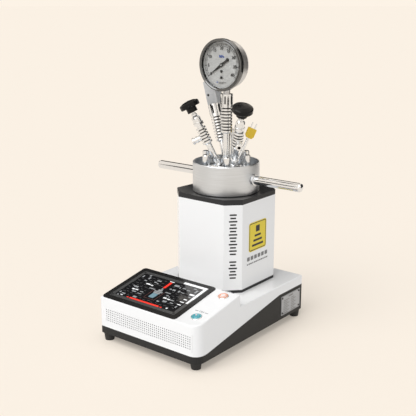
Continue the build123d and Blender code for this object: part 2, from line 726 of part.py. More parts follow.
def stir_bar():
    """Capsule-shaped magnetic bar on the vessel's floor."""
    r, half = STIR_BAR_R, STIR_BAR_L / 2
    floor = DISH_Z - VESSEL_DEPTH + VESSEL_FLOOR_T
    bar = turned([
        (0, -half), (r * 0.7, -half + r * 0.3), (r, -half + r),
        (r, half - r), (r * 0.7, half - r * 0.3), (0, half),
    ])
    return on_axis(Rot(0, 90, 0) * bar, floor + r + BODY_GAP)


# ================================================================ head
def reactor_head():
    """Head with spigot, clamped flange, clip groove, cone and fitting ports."""
    r = HEAD_DISC_R
    clip_z = RING_LIP_Z + RING_LIP_T + BODY_GAP
    spigot_r = VESSEL_BORE_R - BODY_GAP
    head = turned([
        (0, HEAD_Z - SPIGOT_H), (spigot_r - 1, HEAD_Z - SPIGOT_H), (spigot_r, HEAD_Z - SPIGOT_H + 1),
        (spigot_r, HEAD_Z), (FLANGE_R, HEAD_Z), (FLANGE_R, HEAD_DISC_Z), (r, HEAD_DISC_Z),
        (r, clip_z), (r - CLIP_DEPTH, clip_z), (r - CLIP_DEPTH, clip_z + CLIP_T + SEAT_GAP),
        (r, clip_z + CLIP_T + SEAT_GAP), (r, HEAD_SHOULDER_Z), (HEAD_CONE_R0, HEAD_SHOULDER_Z),
        (HEAD_CONE_R1, HEAD_TOP_Z), (0, HEAD_TOP_Z),
    ])
    for x, y in ring_of(BOLT_COUNT, BOLT_PCD / 2, BOLT_ANGLE):
        head -= Pos(x, y, HEAD_SHOULDER_Z) * rod(BOLT_SHANK_R + SEAT_GAP, -PORT_DEPTH, 1)
    head = on_axis(head)
    head -= on_axis(rod(GAUGE_STEM_R + SEAT_GAP, -PORT_DEPTH, 1), HEAD_TOP_Z)
    for name, radius in port_radii().items():
        head -= port_frame(name) * rod(radius + SEAT_GAP, -PORT_DEPTH, 2 * PORT_DEPTH)
    return head


def port_radii():
    """Radius of the stub that each leaning fitting puts in the head."""
    return {
        "left_valve": VALVE_TUBE_R, "right_valve": VALVE_TUBE_R,
        "thermocouple": PROBE_FITTING_R, "sensor": SENSOR_STEM_R, "burst_disc": BURST_FITTING_R,
    }


def retaining_clip():
    """Clip in the head's groove that lifts the head with the lock ring."""
    r = HEAD_DISC_R
    clip = tube(r + CLIP_PROUD, r - CLIP_DEPTH + SEAT_GAP, 0, CLIP_T)
    clip -= Pos(r, 0, CLIP_T / 2) * Box(3 * CLIP_PROUD, 2 * CLIP_PROUD, 2 * CLIP_T)
    return on_axis(Rot(0, 0, 90) * clip, RING_LIP_Z + RING_LIP_T + BODY_GAP + SEAT_GAP / 2)


def head_bolts():
    """Tall cap screws standing on the head inside the lock ring."""
    bolt = turned([
        (0, -PORT_DEPTH + SEAT_GAP), (BOLT_SHANK_R, -PORT_DEPTH + SEAT_GAP), (BOLT_SHANK_R, 0),
        (BOLT_R, 0), (BOLT_R, BOLT_H - 1), (BOLT_R - 1, BOLT_H), (0, BOLT_H),
    ])
    bolt -= hexagon(2 * BOLT_SOCKET_R, BOLT_H - BOLT_R, BOLT_H + 1)
    places = ring_of(BOLT_COUNT, BOLT_PCD / 2, BOLT_ANGLE)
    return [on_axis(Pos(x, y, 0) * bolt, HEAD_SHOULDER_Z) for x, y in places]


def lock_ring():
    """Screwed ring: threaded skirt, clamping lip and thin upright rim."""
    skirt_r = FLANGE_R + BODY_GAP
    lip_r = HEAD_DISC_R + 2 * BODY_GAP
    rim_r = RING_R - RING_RIM_T
    lip_z, lip_top = RING_LIP_Z - RING_Z, RING_LIP_Z - RING_Z + RING_LIP_T
    e = RING_EDGE
    ring = turned([
        (skirt_r, 0), (RING_R - e, 0), (RING_R, e), (RING_R, RING_H - e), (RING_R - e, RING_H),
        (rim_r, RING_H), (rim_r, lip_top), (lip_r, lip_top), (lip_r, lip_z), (skirt_r, lip_z),
    ])
    hole = Rot(0, 90, 0) * rod(HANDLE_STUD_R + SEAT_GAP, RING_R - HANDLE_STUD_L - SEAT_GAP, RING_R + 1)
    for turn in (0, 180):
        ring -= Rot(0, 0, turn) * Pos(0, 0, HANDLE_Z) * hole
    return on_axis(ring, RING_Z)


def handle(side):
    """Polished handle bar with a stud, a root collar and a domed tip."""
    r, e = HANDLE_R, HANDLE_R * 0.45
    tip = HANDLE_REACH
    foot = RING_R + SEAT_GAP
    bar = turned([
        (0, RING_R - HANDLE_STUD_L), (HANDLE_STUD_R, RING_R - HANDLE_STUD_L), (HANDLE_STUD_R, foot),
        (HANDLE_COLLAR_R, foot), (HANDLE_COLLAR_R, foot + HANDLE_COLLAR_L),
        (r, foot + HANDLE_COLLAR_L), (r, tip - e), (r * 0.87, tip - e * 0.4),
        (r * 0.5, tip - e * 0.1), (0, tip),
    ])
    # The flat side of the collar meets the round ring, so the ring's outline is cut from it.
    bar = Rot(0, 90, 0) * bar
    bar -= Pos(0, 0, -RING_H) * tube(RING_R + SEAT_GAP, HEAD_DISC_R + HANDLE_STUD_L, 0, 2 * RING_H)
    bar += Rot(0, 90, 0) * rod(HANDLE_STUD_R, RING_R - HANDLE_STUD_L, foot + HANDLE_COLLAR_L)
    turn = 0 if side > 0 else 180
    return on_axis(Rot(0, 0, turn) * bar, RING_Z + HANDLE_Z)


# ================================================================ finned stems
def fin_points(z0, count, fin_r, core_r):
    """Outer outline of a stack of cooling fins, from the bottom up."""
    points = []
    for i in range(count):
        z = z0 + i * FIN_PITCH
        points += [(core_r, z), (core_r, z + FIN_GAP), (fin_r, z + FIN_GAP), (fin_r, z + FIN_PITCH)]
    return points


def finned_stem(stem_r, hex_size, hex_z, fins_z):
    """Stub, hexagon, plain stem, fin stack and the spine that enters the sleeve."""
    top = fins_z + FIN_STACK
    stem = turned(
        [(0, -PORT_DEPTH + SEAT_GAP), (stem_r, -PORT_DEPTH + SEAT_GAP), (stem_r, fins_z - FIN_PITCH),
         (STEM_FIN_R, fins_z - FIN_PITCH + FIN_GAP), (STEM_FIN_R, fins_z)]
        + fin_points(fins_z, STEM_FINS, STEM_FIN_R, FIN_CORE_R)
        + [(SPINE_R, top), (SPINE_R, top + SLEEVE_H), (0, top + SLEEVE_H)])
    return stem + hexagon(hex_size, hex_z, hex_z + hex_size * 0.6)


def slotted_sleeve():
    """Ventilated sleeve with long slots, standing on a fin stack."""
    roof = SLEEVE_WALL
    sleeve = turned([
        (SLEEVE_R - SLEEVE_WALL, 0), (SLEEVE_R, 0), (SLEEVE_R, SLEEVE_H), (SPINE_R + SEAT_GAP, SLEEVE_H),
        (SPINE_R + SEAT_GAP, SLEEVE_H - roof), (SLEEVE_R - SLEEVE_WALL, SLEEVE_H - roof),
    ])
    slot = Pos(SLEEVE_R, 0, SLEEVE_H / 2) * Rot(0, 90, 0)
    slot = slot * extrude(SlotOverall(SLEEVE_SLOT_H, SLEEVE_SLOT_W), 2 * SLEEVE_WALL, both=True)
    for i in range(SLEEVE_SLOTS):
        sleeve -= Rot(0, 0, 360.0 * i / SLEEVE_SLOTS) * slot
    return sleeve


# ================================================================ gauge
def gauge_stem():
    """Finned stem that carries the gauge on the head's axis."""
    return on_axis(finned_stem(GAUGE_STEM_R, GAUGE_HEX, SEAT_GAP, GAUGE_FINS_Z), HEAD_TOP_Z)


def gauge_sleeve():
    turned_sleeve = Rot(0, 0, GAUGE_SLEEVE_TURN) * slotted_sleeve()
    return on_axis(turned_sleeve, HEAD_TOP_Z + GAUGE_FINS_Z + FIN_STACK)


def gauge_place():
    """Frame of the gauge: Z runs from the face to the back, Y is up."""
    face = Plane(origin=(0, GAUGE_Y, GAUGE_Z), x_dir=(-1, 0, 0), z_dir=(0, 1, 0))
    return face.location


def gauge_case():
    """Round case with its threaded neck at the bottom."""
    r, wall = GAUGE_CASE_R, GAUGE_CASE_WALL
    back, rim = GAUGE_CASE_T, GAUGE_BEZEL_T
    b = GAUGE_BACK_R
    case = turned([
        (0, back), (r - b, back), (r - b * 0.3, back - b * 0.3), (r, back - b), (r, rim),
        (r - wall, rim), (r - wall, back - b), (r - b, back - wall), (0, back - wall),
    ])
    neck = Pos(0, SLEEVE_TOP_Z - GAUGE_Z + SEAT_GAP, GAUGE_FACE_Y) * Rot(-90, 0, 0)
    case += neck * rod(GAUGE_NECK_R, 0, GAUGE_NECK_L + 2 * wall)
    return gauge_place() * case


def gauge_bezel():
    """Bright rolled bezel ring."""
    r, t = GAUGE_BEZEL_R, GAUGE_BEZEL_T - SEAT_GAP
    inner = r - GAUGE_LIP
    flange_r = GAUGE_CASE_R - GAUGE_CASE_WALL
    bezel = turned([
        (inner, BEZEL_EDGE / 2), (inner + BEZEL_EDGE / 2, 0), (r - BEZEL_EDGE, 0), (r, BEZEL_EDGE),
        (r, t), (flange_r, t), (flange_r, DIAL_DEPTH), (WINDOW_R, DIAL_DEPTH),
        (WINDOW_R, WINDOW_DEPTH), (inner, WINDOW_DEPTH),
    ])
    return gauge_place() * bezel


def gauge_window():
    """Glass disc behind the bezel's lip."""
    disc = rod(WINDOW_R - SEAT_GAP, WINDOW_DEPTH + SEAT_GAP, WINDOW_DEPTH + WINDOW_T)
    return gauge_place() * disc


def gauge_dial():
    """Dial plate with two screws and the pointer's pin."""
    r = GAUGE_CASE_R - DIAL_RIM
    pin_top = WINDOW_DEPTH + WINDOW_T + BODY_GAP
    dial = rod(r, DIAL_DEPTH - DIAL_T, DIAL_DEPTH - SEAT_GAP)
    dial += rod(POINTER_PIN_R, pin_top, DIAL_DEPTH - DIAL_T)
    for drop in DIAL_SCREWS:
        screw = rod(DIAL_SCREW_R, DIAL_DEPTH - DIAL_T - DIAL_SCREW_T, DIAL_DEPTH - DIAL_T)
        dial += Pos(0, -drop, 0) * screw
    return gauge_place() * dial


def gauge_pointer():
    """Tapered pointer with a round tail, resting at zero."""
    z = DIAL_DEPTH - DIAL_T - 2.0
    blade = make_face(Polyline(
        (-POINTER_TAIL, 1.6), (0, 2.6), (POINTER_L, 0.4),
        (POINTER_L, -0.4), (0, -2.6), (-POINTER_TAIL, -1.6), close=True))
    tail = Pos(-POINTER_TAIL, 0) * Circle(3.2)
    pointer = extrude(blade + Circle(3.6) + tail, POINTER_T)
    pointer -= rod(POINTER_PIN_R + RUN_GAP, -1, 2)
    return gauge_place() * Pos(0, 0, z) * Rot(0, 0, 180 - POINTER_ZERO) * pointer


def gauge_vent_plug():
    """Rubber relief plug in the case's rim."""
    middle = (GAUGE_BEZEL_T + GAUGE_CASE_T) / 2
    place = Pos(0, 0, middle) * Rot(0, 0, 180 - VENT_PLUG_ANGLE) * Rot(0, 90, 0)
    plug = turned([(0, 0), (VENT_PLUG_R, 0), (VENT_PLUG_R, 1.4), (VENT_PLUG_R - 1, 2.4), (0, 2.4)])
    case = rod(GAUGE_CASE_R + SEAT_GAP, -VENT_PLUG_R * 2, VENT_PLUG_R * 2)
    plug -= Pos(0, 0, -GAUGE_CASE_R) * Rot(0, 90, 0) * case
    return gauge_place() * place * Pos(0, 0, GAUGE_CASE_R) * plug


# ================================================================ sensor
def sensor_stem():
    """Leaning finned stem that carries the pressure sensor."""
    return port_frame("sensor") * finned_stem(SENSOR_STEM_R, SENSOR_HEX, 5.0, SENSOR_FINS_Z)


def sensor_sleeve():
    return port_frame("sensor") * Pos(0, 0, SENSOR_FINS_Z + FIN_STACK) * slotted_sleeve()


def sensor_place():
    """Frame on top of the sensor's sleeve, turned square to the base, off the axis."""
    lean_to = PORTS["sensor"][2]
    top = port_frame("sensor") * Pos(0, 0, SENSOR_FINS_Z + FIN_STACK + SLEEVE_H)
    return top * Rot(0, 0, -lean_to) * Pos(SENSOR_OFFSET, 0, 0)


def sensor_housing():
    """Block of the pressure sensor with a blind screw hole in its front."""
    w, d, h = SENSOR_BOX
    block = slab(w, d, h, SEAT_GAP)
    block = fillet(block.edges().filter_by(Axis.Z), 1.0)
    hole = Pos(-w / 2 + 6.5, -d / 2, 0.4 * h) * Rot(90, 0, 0) * rod(SENSOR_HOLE_R, -5, 1)
    return sensor_place() * (block - hole)


# ================================================================ needle valves
def valve_body(name):
    """Leaning valve body: stub, hexagon, tube, finned barrel and side outlet."""
    z0 = VALVE_BODY_Z
    foot = -PORT_DEPTH + SEAT_GAP
    body = turned(
        [(0, foot), (VALVE_TUBE_R, foot), (VALVE_TUBE_R, z0 - FIN_PITCH),
         (VALVE_BODY_R, z0 - FIN_PITCH + FIN_GAP), (VALVE_BODY_R, z0)]
        + fin_points(z0, VALVE_FINS, VALVE_BODY_R, FIN_CORE_R)
        + [(FIN_CORE_R, z0 + VALVE_STACK), (FIN_CORE_R, VALVE_TOP_Z), (0, VALVE_TOP_Z)])
    body += hexagon(VALVE_HEX, 5.0, 5.0 + VALVE_HEX * 0.6)
    outlet = Pos(0, 0, VALVE_PORT_Z) * Rot(0, 0, VALVE_PORT_TURN[name]) * Rot(0, 90, 0)
    body += outlet * valve_outlet()
    body -= outlet * rod(VALVE_PORT_BORE_R, VALVE_PORT_L - VALVE_PORT_SOCKET, VALVE_PORT_L + 1)
    body -= outlet * rod(VALVE_PASSAGE_R, 0, VALVE_PORT_L)
    body -= rod(NEEDLE_R + RUN_GAP, VALVE_SEAT_Z, VALVE_TOP_Z + 1)
    body -= rod(VALVE_INLET_R, -PORT_DEPTH - 1, VALVE_SEAT_Z + 1)
    return port_frame(name) * body


def valve_outlet():
    """Side outlet tube with a middle collar and a chamfered end collar."""
    end, collar = VALVE_PORT_L, VALVE_COLLAR_L
    nut_end = end - 2 * collar
    bevel = collar / 4
    return turned([
        (0, 0), (VALVE_PORT_R, 0), (VALVE_PORT_R, nut_end - collar), (VALVE_NUT_R, nut_end - collar),
        (VALVE_NUT_R, nut_end), (VALVE_PORT_R, nut_end), (VALVE_PORT_R, end - collar),
        (VALVE_END_R, end - collar), (VALVE_END_R, end - bevel), (VALVE_END_R - bevel, end), (0, end),
    ])


def valve_bonnet(name):
    """Hexagon and domed packing nut over the needle."""
    z1 = VALVE_TOP_Z + BONNET_HEX_T
    nut = turned([
        (0, z1), (BONNET_R, z1), (BONNET_R, z1 + BONNET_H * 0.6), (BONNET_R * 0.9, z1 + BONNET_H * 0.8),
        (BONNET_R * 0.68, z1 + BONNET_H * 0.94), (NEEDLE_R + 1.4, BONNET_TOP_Z), (0, BONNET_TOP_Z),
    ])
    nut += hexagon(BONNET_HEX, VALVE_TOP_Z + SEAT_GAP, z1)
    return port_frame(name) * (nut - rod(NEEDLE_R + RUN_GAP, VALVE_TOP_Z - 1, BONNET_TOP_Z + 1))


def valve_needle(name):
    """Needle from the seat to the knob, with a conical tip."""
    needle = turned([
        (0, VALVE_SEAT_Z + SEAT_GAP), (VALVE_INLET_R * 0.4, VALVE_SEAT_Z + SEAT_GAP),
        (NEEDLE_R, VALVE_SEAT_Z + NEEDLE_R), (NEEDLE_R, NEEDLE_TOP_Z), (0, NEEDLE_TOP_Z),
    ])
    return port_frame(name) * needle


def valve_knob(name):
    """Black disc knob with a hub, domed on top."""
    disc_z = KNOB_Z + KNOB_HUB_H
    r, e = KNOB_R, KNOB_EDGE
    knob = turned([
        (0, KNOB_Z), (KNOB_HUB_R - e / 2, KNOB_Z), (KNOB_HUB_R, KNOB_Z + e / 2), (KNOB_HUB_R, disc_z),
        (r - e, disc_z), (r, disc_z + e), (r, disc_z + KNOB_T - e), (r - e, disc_z + KNOB_T),
        (r * 0.55, disc_z + KNOB_T + KNOB_DOME * 0.7), (0, disc_z + KNOB_T + KNOB_DOME),
    ])
    return port_frame(name) * (knob - rod(NEEDLE_R + RUN_GAP, KNOB_Z - 1, NEEDLE_TOP_Z + BODY_GAP))


# ================================================================ thermocouple
def thermocouple_probe():
    """Sheathed probe with its head fitting."""
    probe = rod(PROBE_FITTING_R, -PORT_DEPTH + SEAT_GAP, PROBE_HEX)
    probe += hexagon(PROBE_HEX, PROBE_HEX_Z, PROBE_HEX_Z + PROBE_HEX * 0.6)
    probe += rod(PROBE_R, 0, PLUG_Z - SEAT_GAP)
    return port_frame("thermocouple") * probe


def thermocouple_plug():
    """Flat miniature plug, narrowed towards the probe."""
    w, d, h = PLUG_BOX
    t = PLUG_TAIL_W / 2
    shoulder = h * 0.22
    outline = make_face(Polyline(
        (-t, 0, 0), (t, 0, 0), (w / 2, 0, shoulder), (w / 2, 0, h),
        (-w / 2, 0, h), (-w / 2, 0, shoulder), close=True))
    plug = extrude(outline, d / 2, dir=(0, 1, 0), both=True)
    plug = fillet(plug.edges().filter_by(Axis.Y), 0.8)
    return port_frame("thermocouple") * Pos(0, 0, PLUG_Z) * plug


def thermocouple_blades():
    """Two flat contact blades of the plug."""
    w, d, h = BLADE
    place = port_frame("thermocouple") * Pos(0, 0, PLUG_Z + PLUG_BOX[2] + SEAT_GAP)
    blade = chamfer(slab(w, d, h).faces().sort_by(Axis.Z)[-1].edges().filter_by(Axis.Y), 0.7)
    return [place * Pos(side * BLADE_PITCH / 2, 0, 0) * blade for side in (-1, 1)]


# ================================================================ burst disc holder
def burst_disc_holder():
    """Slim safety tube with a burst disc cap, behind the gauge's stem."""
    foot = -PORT_DEPTH + SEAT_GAP
    top, cap_r = BURST_STEM_L, BURST_CAP_R
    cap_top = top + BURST_CAP_L
    holder = turned([
        (0, foot), (BURST_FITTING_R, foot), (BURST_FITTING_R, BURST_HEX), (BURST_R, BURST_HEX + 1),
        (BURST_R, top), (cap_r, top + 1), (cap_r, cap_top), (cap_r - 1, cap_top + 1), (0, cap_top + 1),
    ])
    return port_frame("burst_disc") * (holder + hexagon(BURST_HEX, SEAT_GAP, BURST_HEX * 0.6))


# ================================================================ stirrer and electrics
def motor_bracket():
    """Plate on the tray's floor that carries the stirrer motor."""
    return on_axis(rounded_slab(BRACKET_W, 2 * MOTOR_R + 4, MOTOR_LIFT, 3), TRAY_FLOOR_Z)


def stir_motor():
    """Stirrer motor with a bearing bore for its shaft."""
    body = rod(MOTOR_R, 0, MOTOR_H) + rod(SHAFT_R + 4, 0, MOTOR_H + ROTOR_GAP / 2)
    body -= rod(SHAFT_R + RUN_GAP, MOTOR_H / 2, MOTOR_H * 2)
    return on_axis(body, TRAY_FLOOR_Z + MOTOR_LIFT)


def magnet_rotor():
    """Drive disc with its shaft and two magnet pockets."""
    z = MOTOR_H + ROTOR_GAP
    rotor = rod(ROTOR_R, z, z + ROTOR_T) + rod(SHAFT_R, MOTOR_H / 2 + BODY_GAP, z)
    for x, y in ring_of(2, MAGNET_PCD / 2):
        rotor -= Pos(x, y, 0) * rod(MAGNET_R + SEAT_GAP, z + ROTOR_T / 2, z + ROTOR_T + 1)
    return on_axis(rotor, TRAY_FLOOR_Z + MOTOR_LIFT)


def drive_magnets():
    """Two magnets set in the drive disc."""
    z = MOTOR_H + ROTOR_GAP + ROTOR_T / 2 + SEAT_GAP
    magnet = rod(MAGNET_R, z, z + MAGNET_H)
    places = ring_of(2, MAGNET_PCD / 2)
    return [on_axis(Pos(x, y, 0) * magnet, TRAY_FLOOR_Z + MOTOR_LIFT) for x, y in places]


def power_supply():
    """Boxed power supply on the tray's floor, at the rear."""
    w, d, h = SUPPLY_BOX
    x = -BASE_W / 2 + BASE_WALL + w / 2 + 8
    y = AXIS_Y + MOTOR_R + d / 2 + 6
    return Pos(x, y, 0) * slab(w, d, h, TRAY_FLOOR_Z)


def board_corners():
    """Standoff places of the control board, under the console."""
    w, d, _ = BOARD_BOX
    y = FRONT_Y + CONSOLE_D / 2
    return [(sx * (w / 2 - 6), y + sy * (d / 2 - 6)) for sx in (-1, 1) for sy in (-1, 1)]


def control_board():
    """Control board on four standoffs, with a tall component."""
    board = slab(*BOARD_BOX) + Pos(20, 5, 0) * slab(34, 34, 14, BOARD_BOX[2])
    return Pos(0, FRONT_Y + CONSOLE_D / 2, TRAY_FLOOR_Z + STANDOFF_H) * board


# ================================================================ the whole reactor
def build_parts():
    """Every node of the reactor, by name."""
    parts = {
        "base_tray": base_tray(), "console_cover": console_cover(), "feet": feet(),
        "front_grille": front_grille(), "screen_bezel": screen_bezel(), "touch_glass": touch_glass(),
        "display_module": display_module(), "name_plate": name_plate(),
        "name_plate_screws": name_plate_screws(), "power_inlet": power_inlet(),
        "switch_frame": switch_frame(), "power_rocker": power_rocker(),
        "furnace_base_plate": furnace_base_plate(), "furnace_shell": furnace_shell(),
        "furnace_top_plate": furnace_top_plate(), "insulation": insulation(),
        "heater_block": heater_block(), "cartridge_heaters": cartridge_heaters(),
        "vessel": vessel(), "vessel_seal": vessel_seal(), "stir_bar": stir_bar(),
        "reactor_head": reactor_head(), "retaining_clip": retaining_clip(),
        "head_bolts": head_bolts(), "lock_ring": lock_ring(),
        "handle_left": handle(-1), "handle_right": handle(1),
        "gauge_stem": gauge_stem(), "gauge_sleeve": gauge_sleeve(), "gauge_case": gauge_case(),
        "gauge_bezel": gauge_bezel(), "gauge_window": gauge_window(), "gauge_dial": gauge_dial(),
        "gauge_pointer": gauge_pointer(), "gauge_vent_plug": gauge_vent_plug(),
        "sensor_stem": sensor_stem(), "sensor_sleeve": sensor_sleeve(),
        "sensor_housing": sensor_housing(), "thermocouple_probe": thermocouple_probe(),
        "thermocouple_plug": thermocouple_plug(), "thermocouple_blades": thermocouple_blades(),
        "burst_disc_holder": burst_disc_holder(), "motor_bracket": motor_bracket(),
        "stir_motor": stir_motor(), "magnet_rotor": magnet_rotor(),
        "drive_magnets": drive_magnets(), "power_supply": power_supply(),
        "control_board": control_board(),
    }
    for index, name in enumerate(("start_button", "stop_button")):
        parts[name + "_ring"] = button_ring(index)
        parts[name + "_cap"] = button_cap(index)
    for side in ("left_valve", "right_valve"):
        parts[side + "_body"] = valve_body(side)
        parts[side + "_bonnet"] = valve_bonnet(side)
        parts[side + "_needle"] = valve_needle(side)
        parts[side + "_knob"] = valve_knob(side)
    return parts


def write_parts():
    """Write one STEP file per node."""
    os.makedirs("parts", exist_ok=True)
    for name, shape in build_parts().items():
        whole = Compound(children=shape) if isinstance(shape, list) else shape
        export_step(whole, os.path.join("parts", name + ".step"))


write_parts()
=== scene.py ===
"""Looks of a bench-top hydrothermal reactor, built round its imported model.

Every metal, plastic and rubber gets its finish here, and so does what is printed or set
on the reactor: the dial's scale, the touch screen's page, button marks, the side panel,
the name plate's lines and the small hardware on the valves.
"""

import json
import math

import bpy
from bpy.props import FloatProperty, FloatVectorProperty, IntProperty, PointerProperty
from mathutils import Matrix, Vector


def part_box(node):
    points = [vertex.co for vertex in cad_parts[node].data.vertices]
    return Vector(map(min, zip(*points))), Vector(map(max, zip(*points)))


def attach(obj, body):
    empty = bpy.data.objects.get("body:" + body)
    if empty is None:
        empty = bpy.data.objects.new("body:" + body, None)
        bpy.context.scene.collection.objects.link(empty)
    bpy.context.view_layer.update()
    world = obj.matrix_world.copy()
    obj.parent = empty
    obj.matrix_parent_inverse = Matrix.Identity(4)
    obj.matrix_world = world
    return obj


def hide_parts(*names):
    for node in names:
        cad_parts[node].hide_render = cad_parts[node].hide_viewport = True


bl_info = {
    "name": "Hydrothermal reactor looks",
    "version": (1, 0, 0),
    "blender": (4, 5, 0),
    "location": "3D View > Sidebar > Reactor",
    "description": "Finishes, printed marks and small hardware of a bench-top reactor",
    "category": "Object",
}

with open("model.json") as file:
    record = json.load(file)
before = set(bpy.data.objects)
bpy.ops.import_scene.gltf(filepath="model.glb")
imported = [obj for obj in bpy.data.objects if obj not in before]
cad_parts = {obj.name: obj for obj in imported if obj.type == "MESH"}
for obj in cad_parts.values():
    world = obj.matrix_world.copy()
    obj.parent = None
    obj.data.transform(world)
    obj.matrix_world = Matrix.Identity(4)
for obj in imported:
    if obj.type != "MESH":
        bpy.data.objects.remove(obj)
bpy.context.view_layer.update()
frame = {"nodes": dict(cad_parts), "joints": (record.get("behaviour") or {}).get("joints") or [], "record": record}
MM = 0.001
INK = 0.12 * MM         # thickness of a printed mark
LIFT = 0.02 * MM        # gap that keeps a mark off the face under it
CORNER_STEPS = 5        # facets of a plate's rounded corner
CAPITAL_SHARE = 0.70    # height of a capital, as a share of the text's size
SMOOTH_BELOW = math.radians(32)
NEAR = 0.01 * MM         # a point this near a box face lies on it


# ================================================================ sizes and colours
def colour(name, description, value):
    """A colour property, stored as linear light."""
    return FloatVectorProperty(
        name=name, description=description, subtype="COLOR", size=3, min=0.0, max=1.0,
        default=value)


def length(name, description, millimetres):
    """A length property in metres, given in millimetres."""
    return FloatProperty(
        name=name, description=description, subtype="DISTANCE", unit="LENGTH", precision=5,
        default=millimetres * MM)


class ReactorColours(bpy.types.PropertyGroup):
    """Colours of the reactor's finishes."""

    housing: colour("Housing", "Gloss white of the cover and furnace", (0.86, 0.86, 0.86))
    tray: colour("Tray", "Charcoal of the lower housing", (0.022, 0.022, 0.022))
    top_plate: colour("Top plate", "Enamel of the furnace plates", (0.032, 0.032, 0.033))
    ring: colour("Lock ring", "Satin steel of the lock ring", (0.69, 0.725, 0.77))
    polished: colour("Polished steel", "Handle bars and button rings", (0.82, 0.84, 0.87))
    # Darker than the polished steel itself: painted dark reflection on the gauge's rim.
    rim: colour("Gauge rim", "Dark polished steel of the gauge", (0.16, 0.165, 0.17))
    fittings: colour("Fittings", "Machined steel of the head's fittings", (0.86, 0.88, 0.905))
    sensor: colour("Sensor", "Satin grey of the sensor's block", (0.60, 0.61, 0.62))
    knob: colour("Knobs", "Black of the valve knobs", (0.006, 0.006, 0.006))
    plug: colour("Plug", "Yellow of the thermocouple plug", (0.80, 0.54, 0.030))
    # Set below the light enamel: painted shade cast over the dial by its glass and rim.
    dial: colour("Dial", "Light enamel of the gauge's dial", (0.44, 0.45, 0.46))
    bezel: colour("Bezel", "Black of the screen's bezel", (0.012, 0.012, 0.012))
    surround: colour("Screen surround", "Grey border round the page", (0.090, 0.090, 0.089))
    page: colour("Screen page", "Dark ground of the page", (0.010, 0.010, 0.011))
    ink: colour("Ink", "Dark print", (0.012, 0.012, 0.013))
    grey_ink: colour("Grey ink", "Soft print on the panel and plate", (0.30, 0.30, 0.31))
    red: colour("Red", "Red bars of the page", (0.80, 0.030, 0.015))
    teal: colour("Teal", "Start button", (0.055, 0.42, 0.50))
    orange: colour("Orange", "Ring light of the stop button", (0.85, 0.22, 0.09))
    panel: colour("Side panel", "Yellow field on the furnace", (0.80, 0.62, 0.015))
    plate: colour("Plate", "Brushed name plate", (0.48, 0.51, 0.56))


class ReactorMarks(bpy.types.PropertyGroup):
    """Sizes of the printed marks."""

    tick: length("Tick", "Length of a numbered tick on the dial", 4.4)
    numeral: length("Numeral", "Height of the dial's numbers", 5.4)
    scale_r: length("Scale radius", "Outer radius of the dial's ticks", 38.6)
    sweep: FloatProperty(
        name="Sweep", description="Angle from the dial's zero to its end", subtype="ANGLE",
        default=math.radians(250))
    steps: IntProperty(name="Steps", description="Numbered steps on the dial", default=8, min=2)
    panel_w: length("Panel width", "Width of the side panel", 56.0)
    panel_h: length("Panel height", "Height of the side panel", 56.0)
    panel_z: length("Panel place", "Height of the side panel's middle", 184.5)


class ReactorStudio(bpy.types.PropertyGroup):
    """Floor, light and camera."""

    ground: colour("Ground", "Pale floor and backdrop", (0.982, 0.896, 0.791))
    sky: FloatProperty(name="Sky", description="Strength of the even light", default=0.62)
    key: FloatProperty(name="Key", description="Strength of the soft key light", default=1.72)
    fill: FloatProperty(name="Fill", description="Strength of the low front light", default=0.42)
    lens: FloatProperty(name="Lens", description="Focal length in millimetres", default=67.57)
    camera_x: length("Camera X", "Camera place to the right", 871.93)
    camera_y: length("Camera Y", "Camera place in depth", -1092.41)
    camera_z: length("Camera Z", "Camera height", 613.07)


CAMERA_LOOK = Vector((-0.59942, 0.75701, -0.26007))
CARDS = (
    # name, bearing from the object, distance, width, lower and upper edge
    ("card_left", math.radians(138), 1.5, 1.3, 0.0, 1.5),
    ("card_right", math.radians(62), 1.5, 1.5, 0.0, 1.7),
    ("card_low", math.radians(-128), 0.75, 0.40, 0.33, 0.60),
)


# ================================================================ modelling helpers
def clear_selection():
    """Leave edit mode and select nothing."""
    if bpy.context.object and bpy.context.object.mode != "OBJECT":
        bpy.ops.object.mode_set(mode="OBJECT")
    bpy.ops.object.select_all(action="DESELECT")


def take(obj):
    """Make obj the only selected object, and the active one."""
    clear_selection()
    obj.select_set(True)
    bpy.context.view_layer.objects.active = obj
    return obj


def settle(obj, place=None):
    """Move obj to its place and write that place into its mesh."""
    take(obj)
    if place is not None:
        obj.matrix_world = place @ obj.matrix_world
    bpy.ops.object.transform_apply(location=True, rotation=True, scale=True)
    return obj


def sheet(name):
    """Unit plane, left in edit mode as the start of a piece."""
    clear_selection()
    bpy.ops.mesh.primitive_plane_add(size=1.0)
    obj = bpy.context.object
    obj.name = obj.data.name = name
    bpy.ops.object.mode_set(mode="EDIT")
    return obj


def thicken(thickness):
    """Raise what is selected by a thickness, turn the normals out and leave edit mode."""
    bpy.ops.mesh.extrude_region_move(TRANSFORM_OT_translate={"value": (0, 0, thickness)})
    bpy.ops.mesh.select_all(action="SELECT")
    bpy.ops.mesh.normals_make_consistent(inside=False)
    bpy.ops.object.mode_set(mode="OBJECT")


def plate(name, width, height, thickness=INK, corner=0.0, border=0.0):
    """Thin plate standing on z = 0, its corners rounded; given a border, only that is left."""
    obj = sheet(name)
    bpy.ops.transform.resize(value=(width, height, 1.0))
    if corner:
        bpy.ops.mesh.bevel(offset=corner, segments=CORNER_STEPS, affect="VERTICES")
    if border:
        bpy.ops.mesh.inset(thickness=border)
        bpy.ops.mesh.delete(type="FACE")
        bpy.ops.mesh.select_all(action="SELECT")
    thicken(thickness)
    return obj


def start_point(name, point):
    """A plane merged to one point, left in edit mode with that point selected."""
    obj = sheet(name)
    bpy.ops.mesh.merge(type="CENTER")
    bpy.ops.transform.translate(value=point)
    return obj


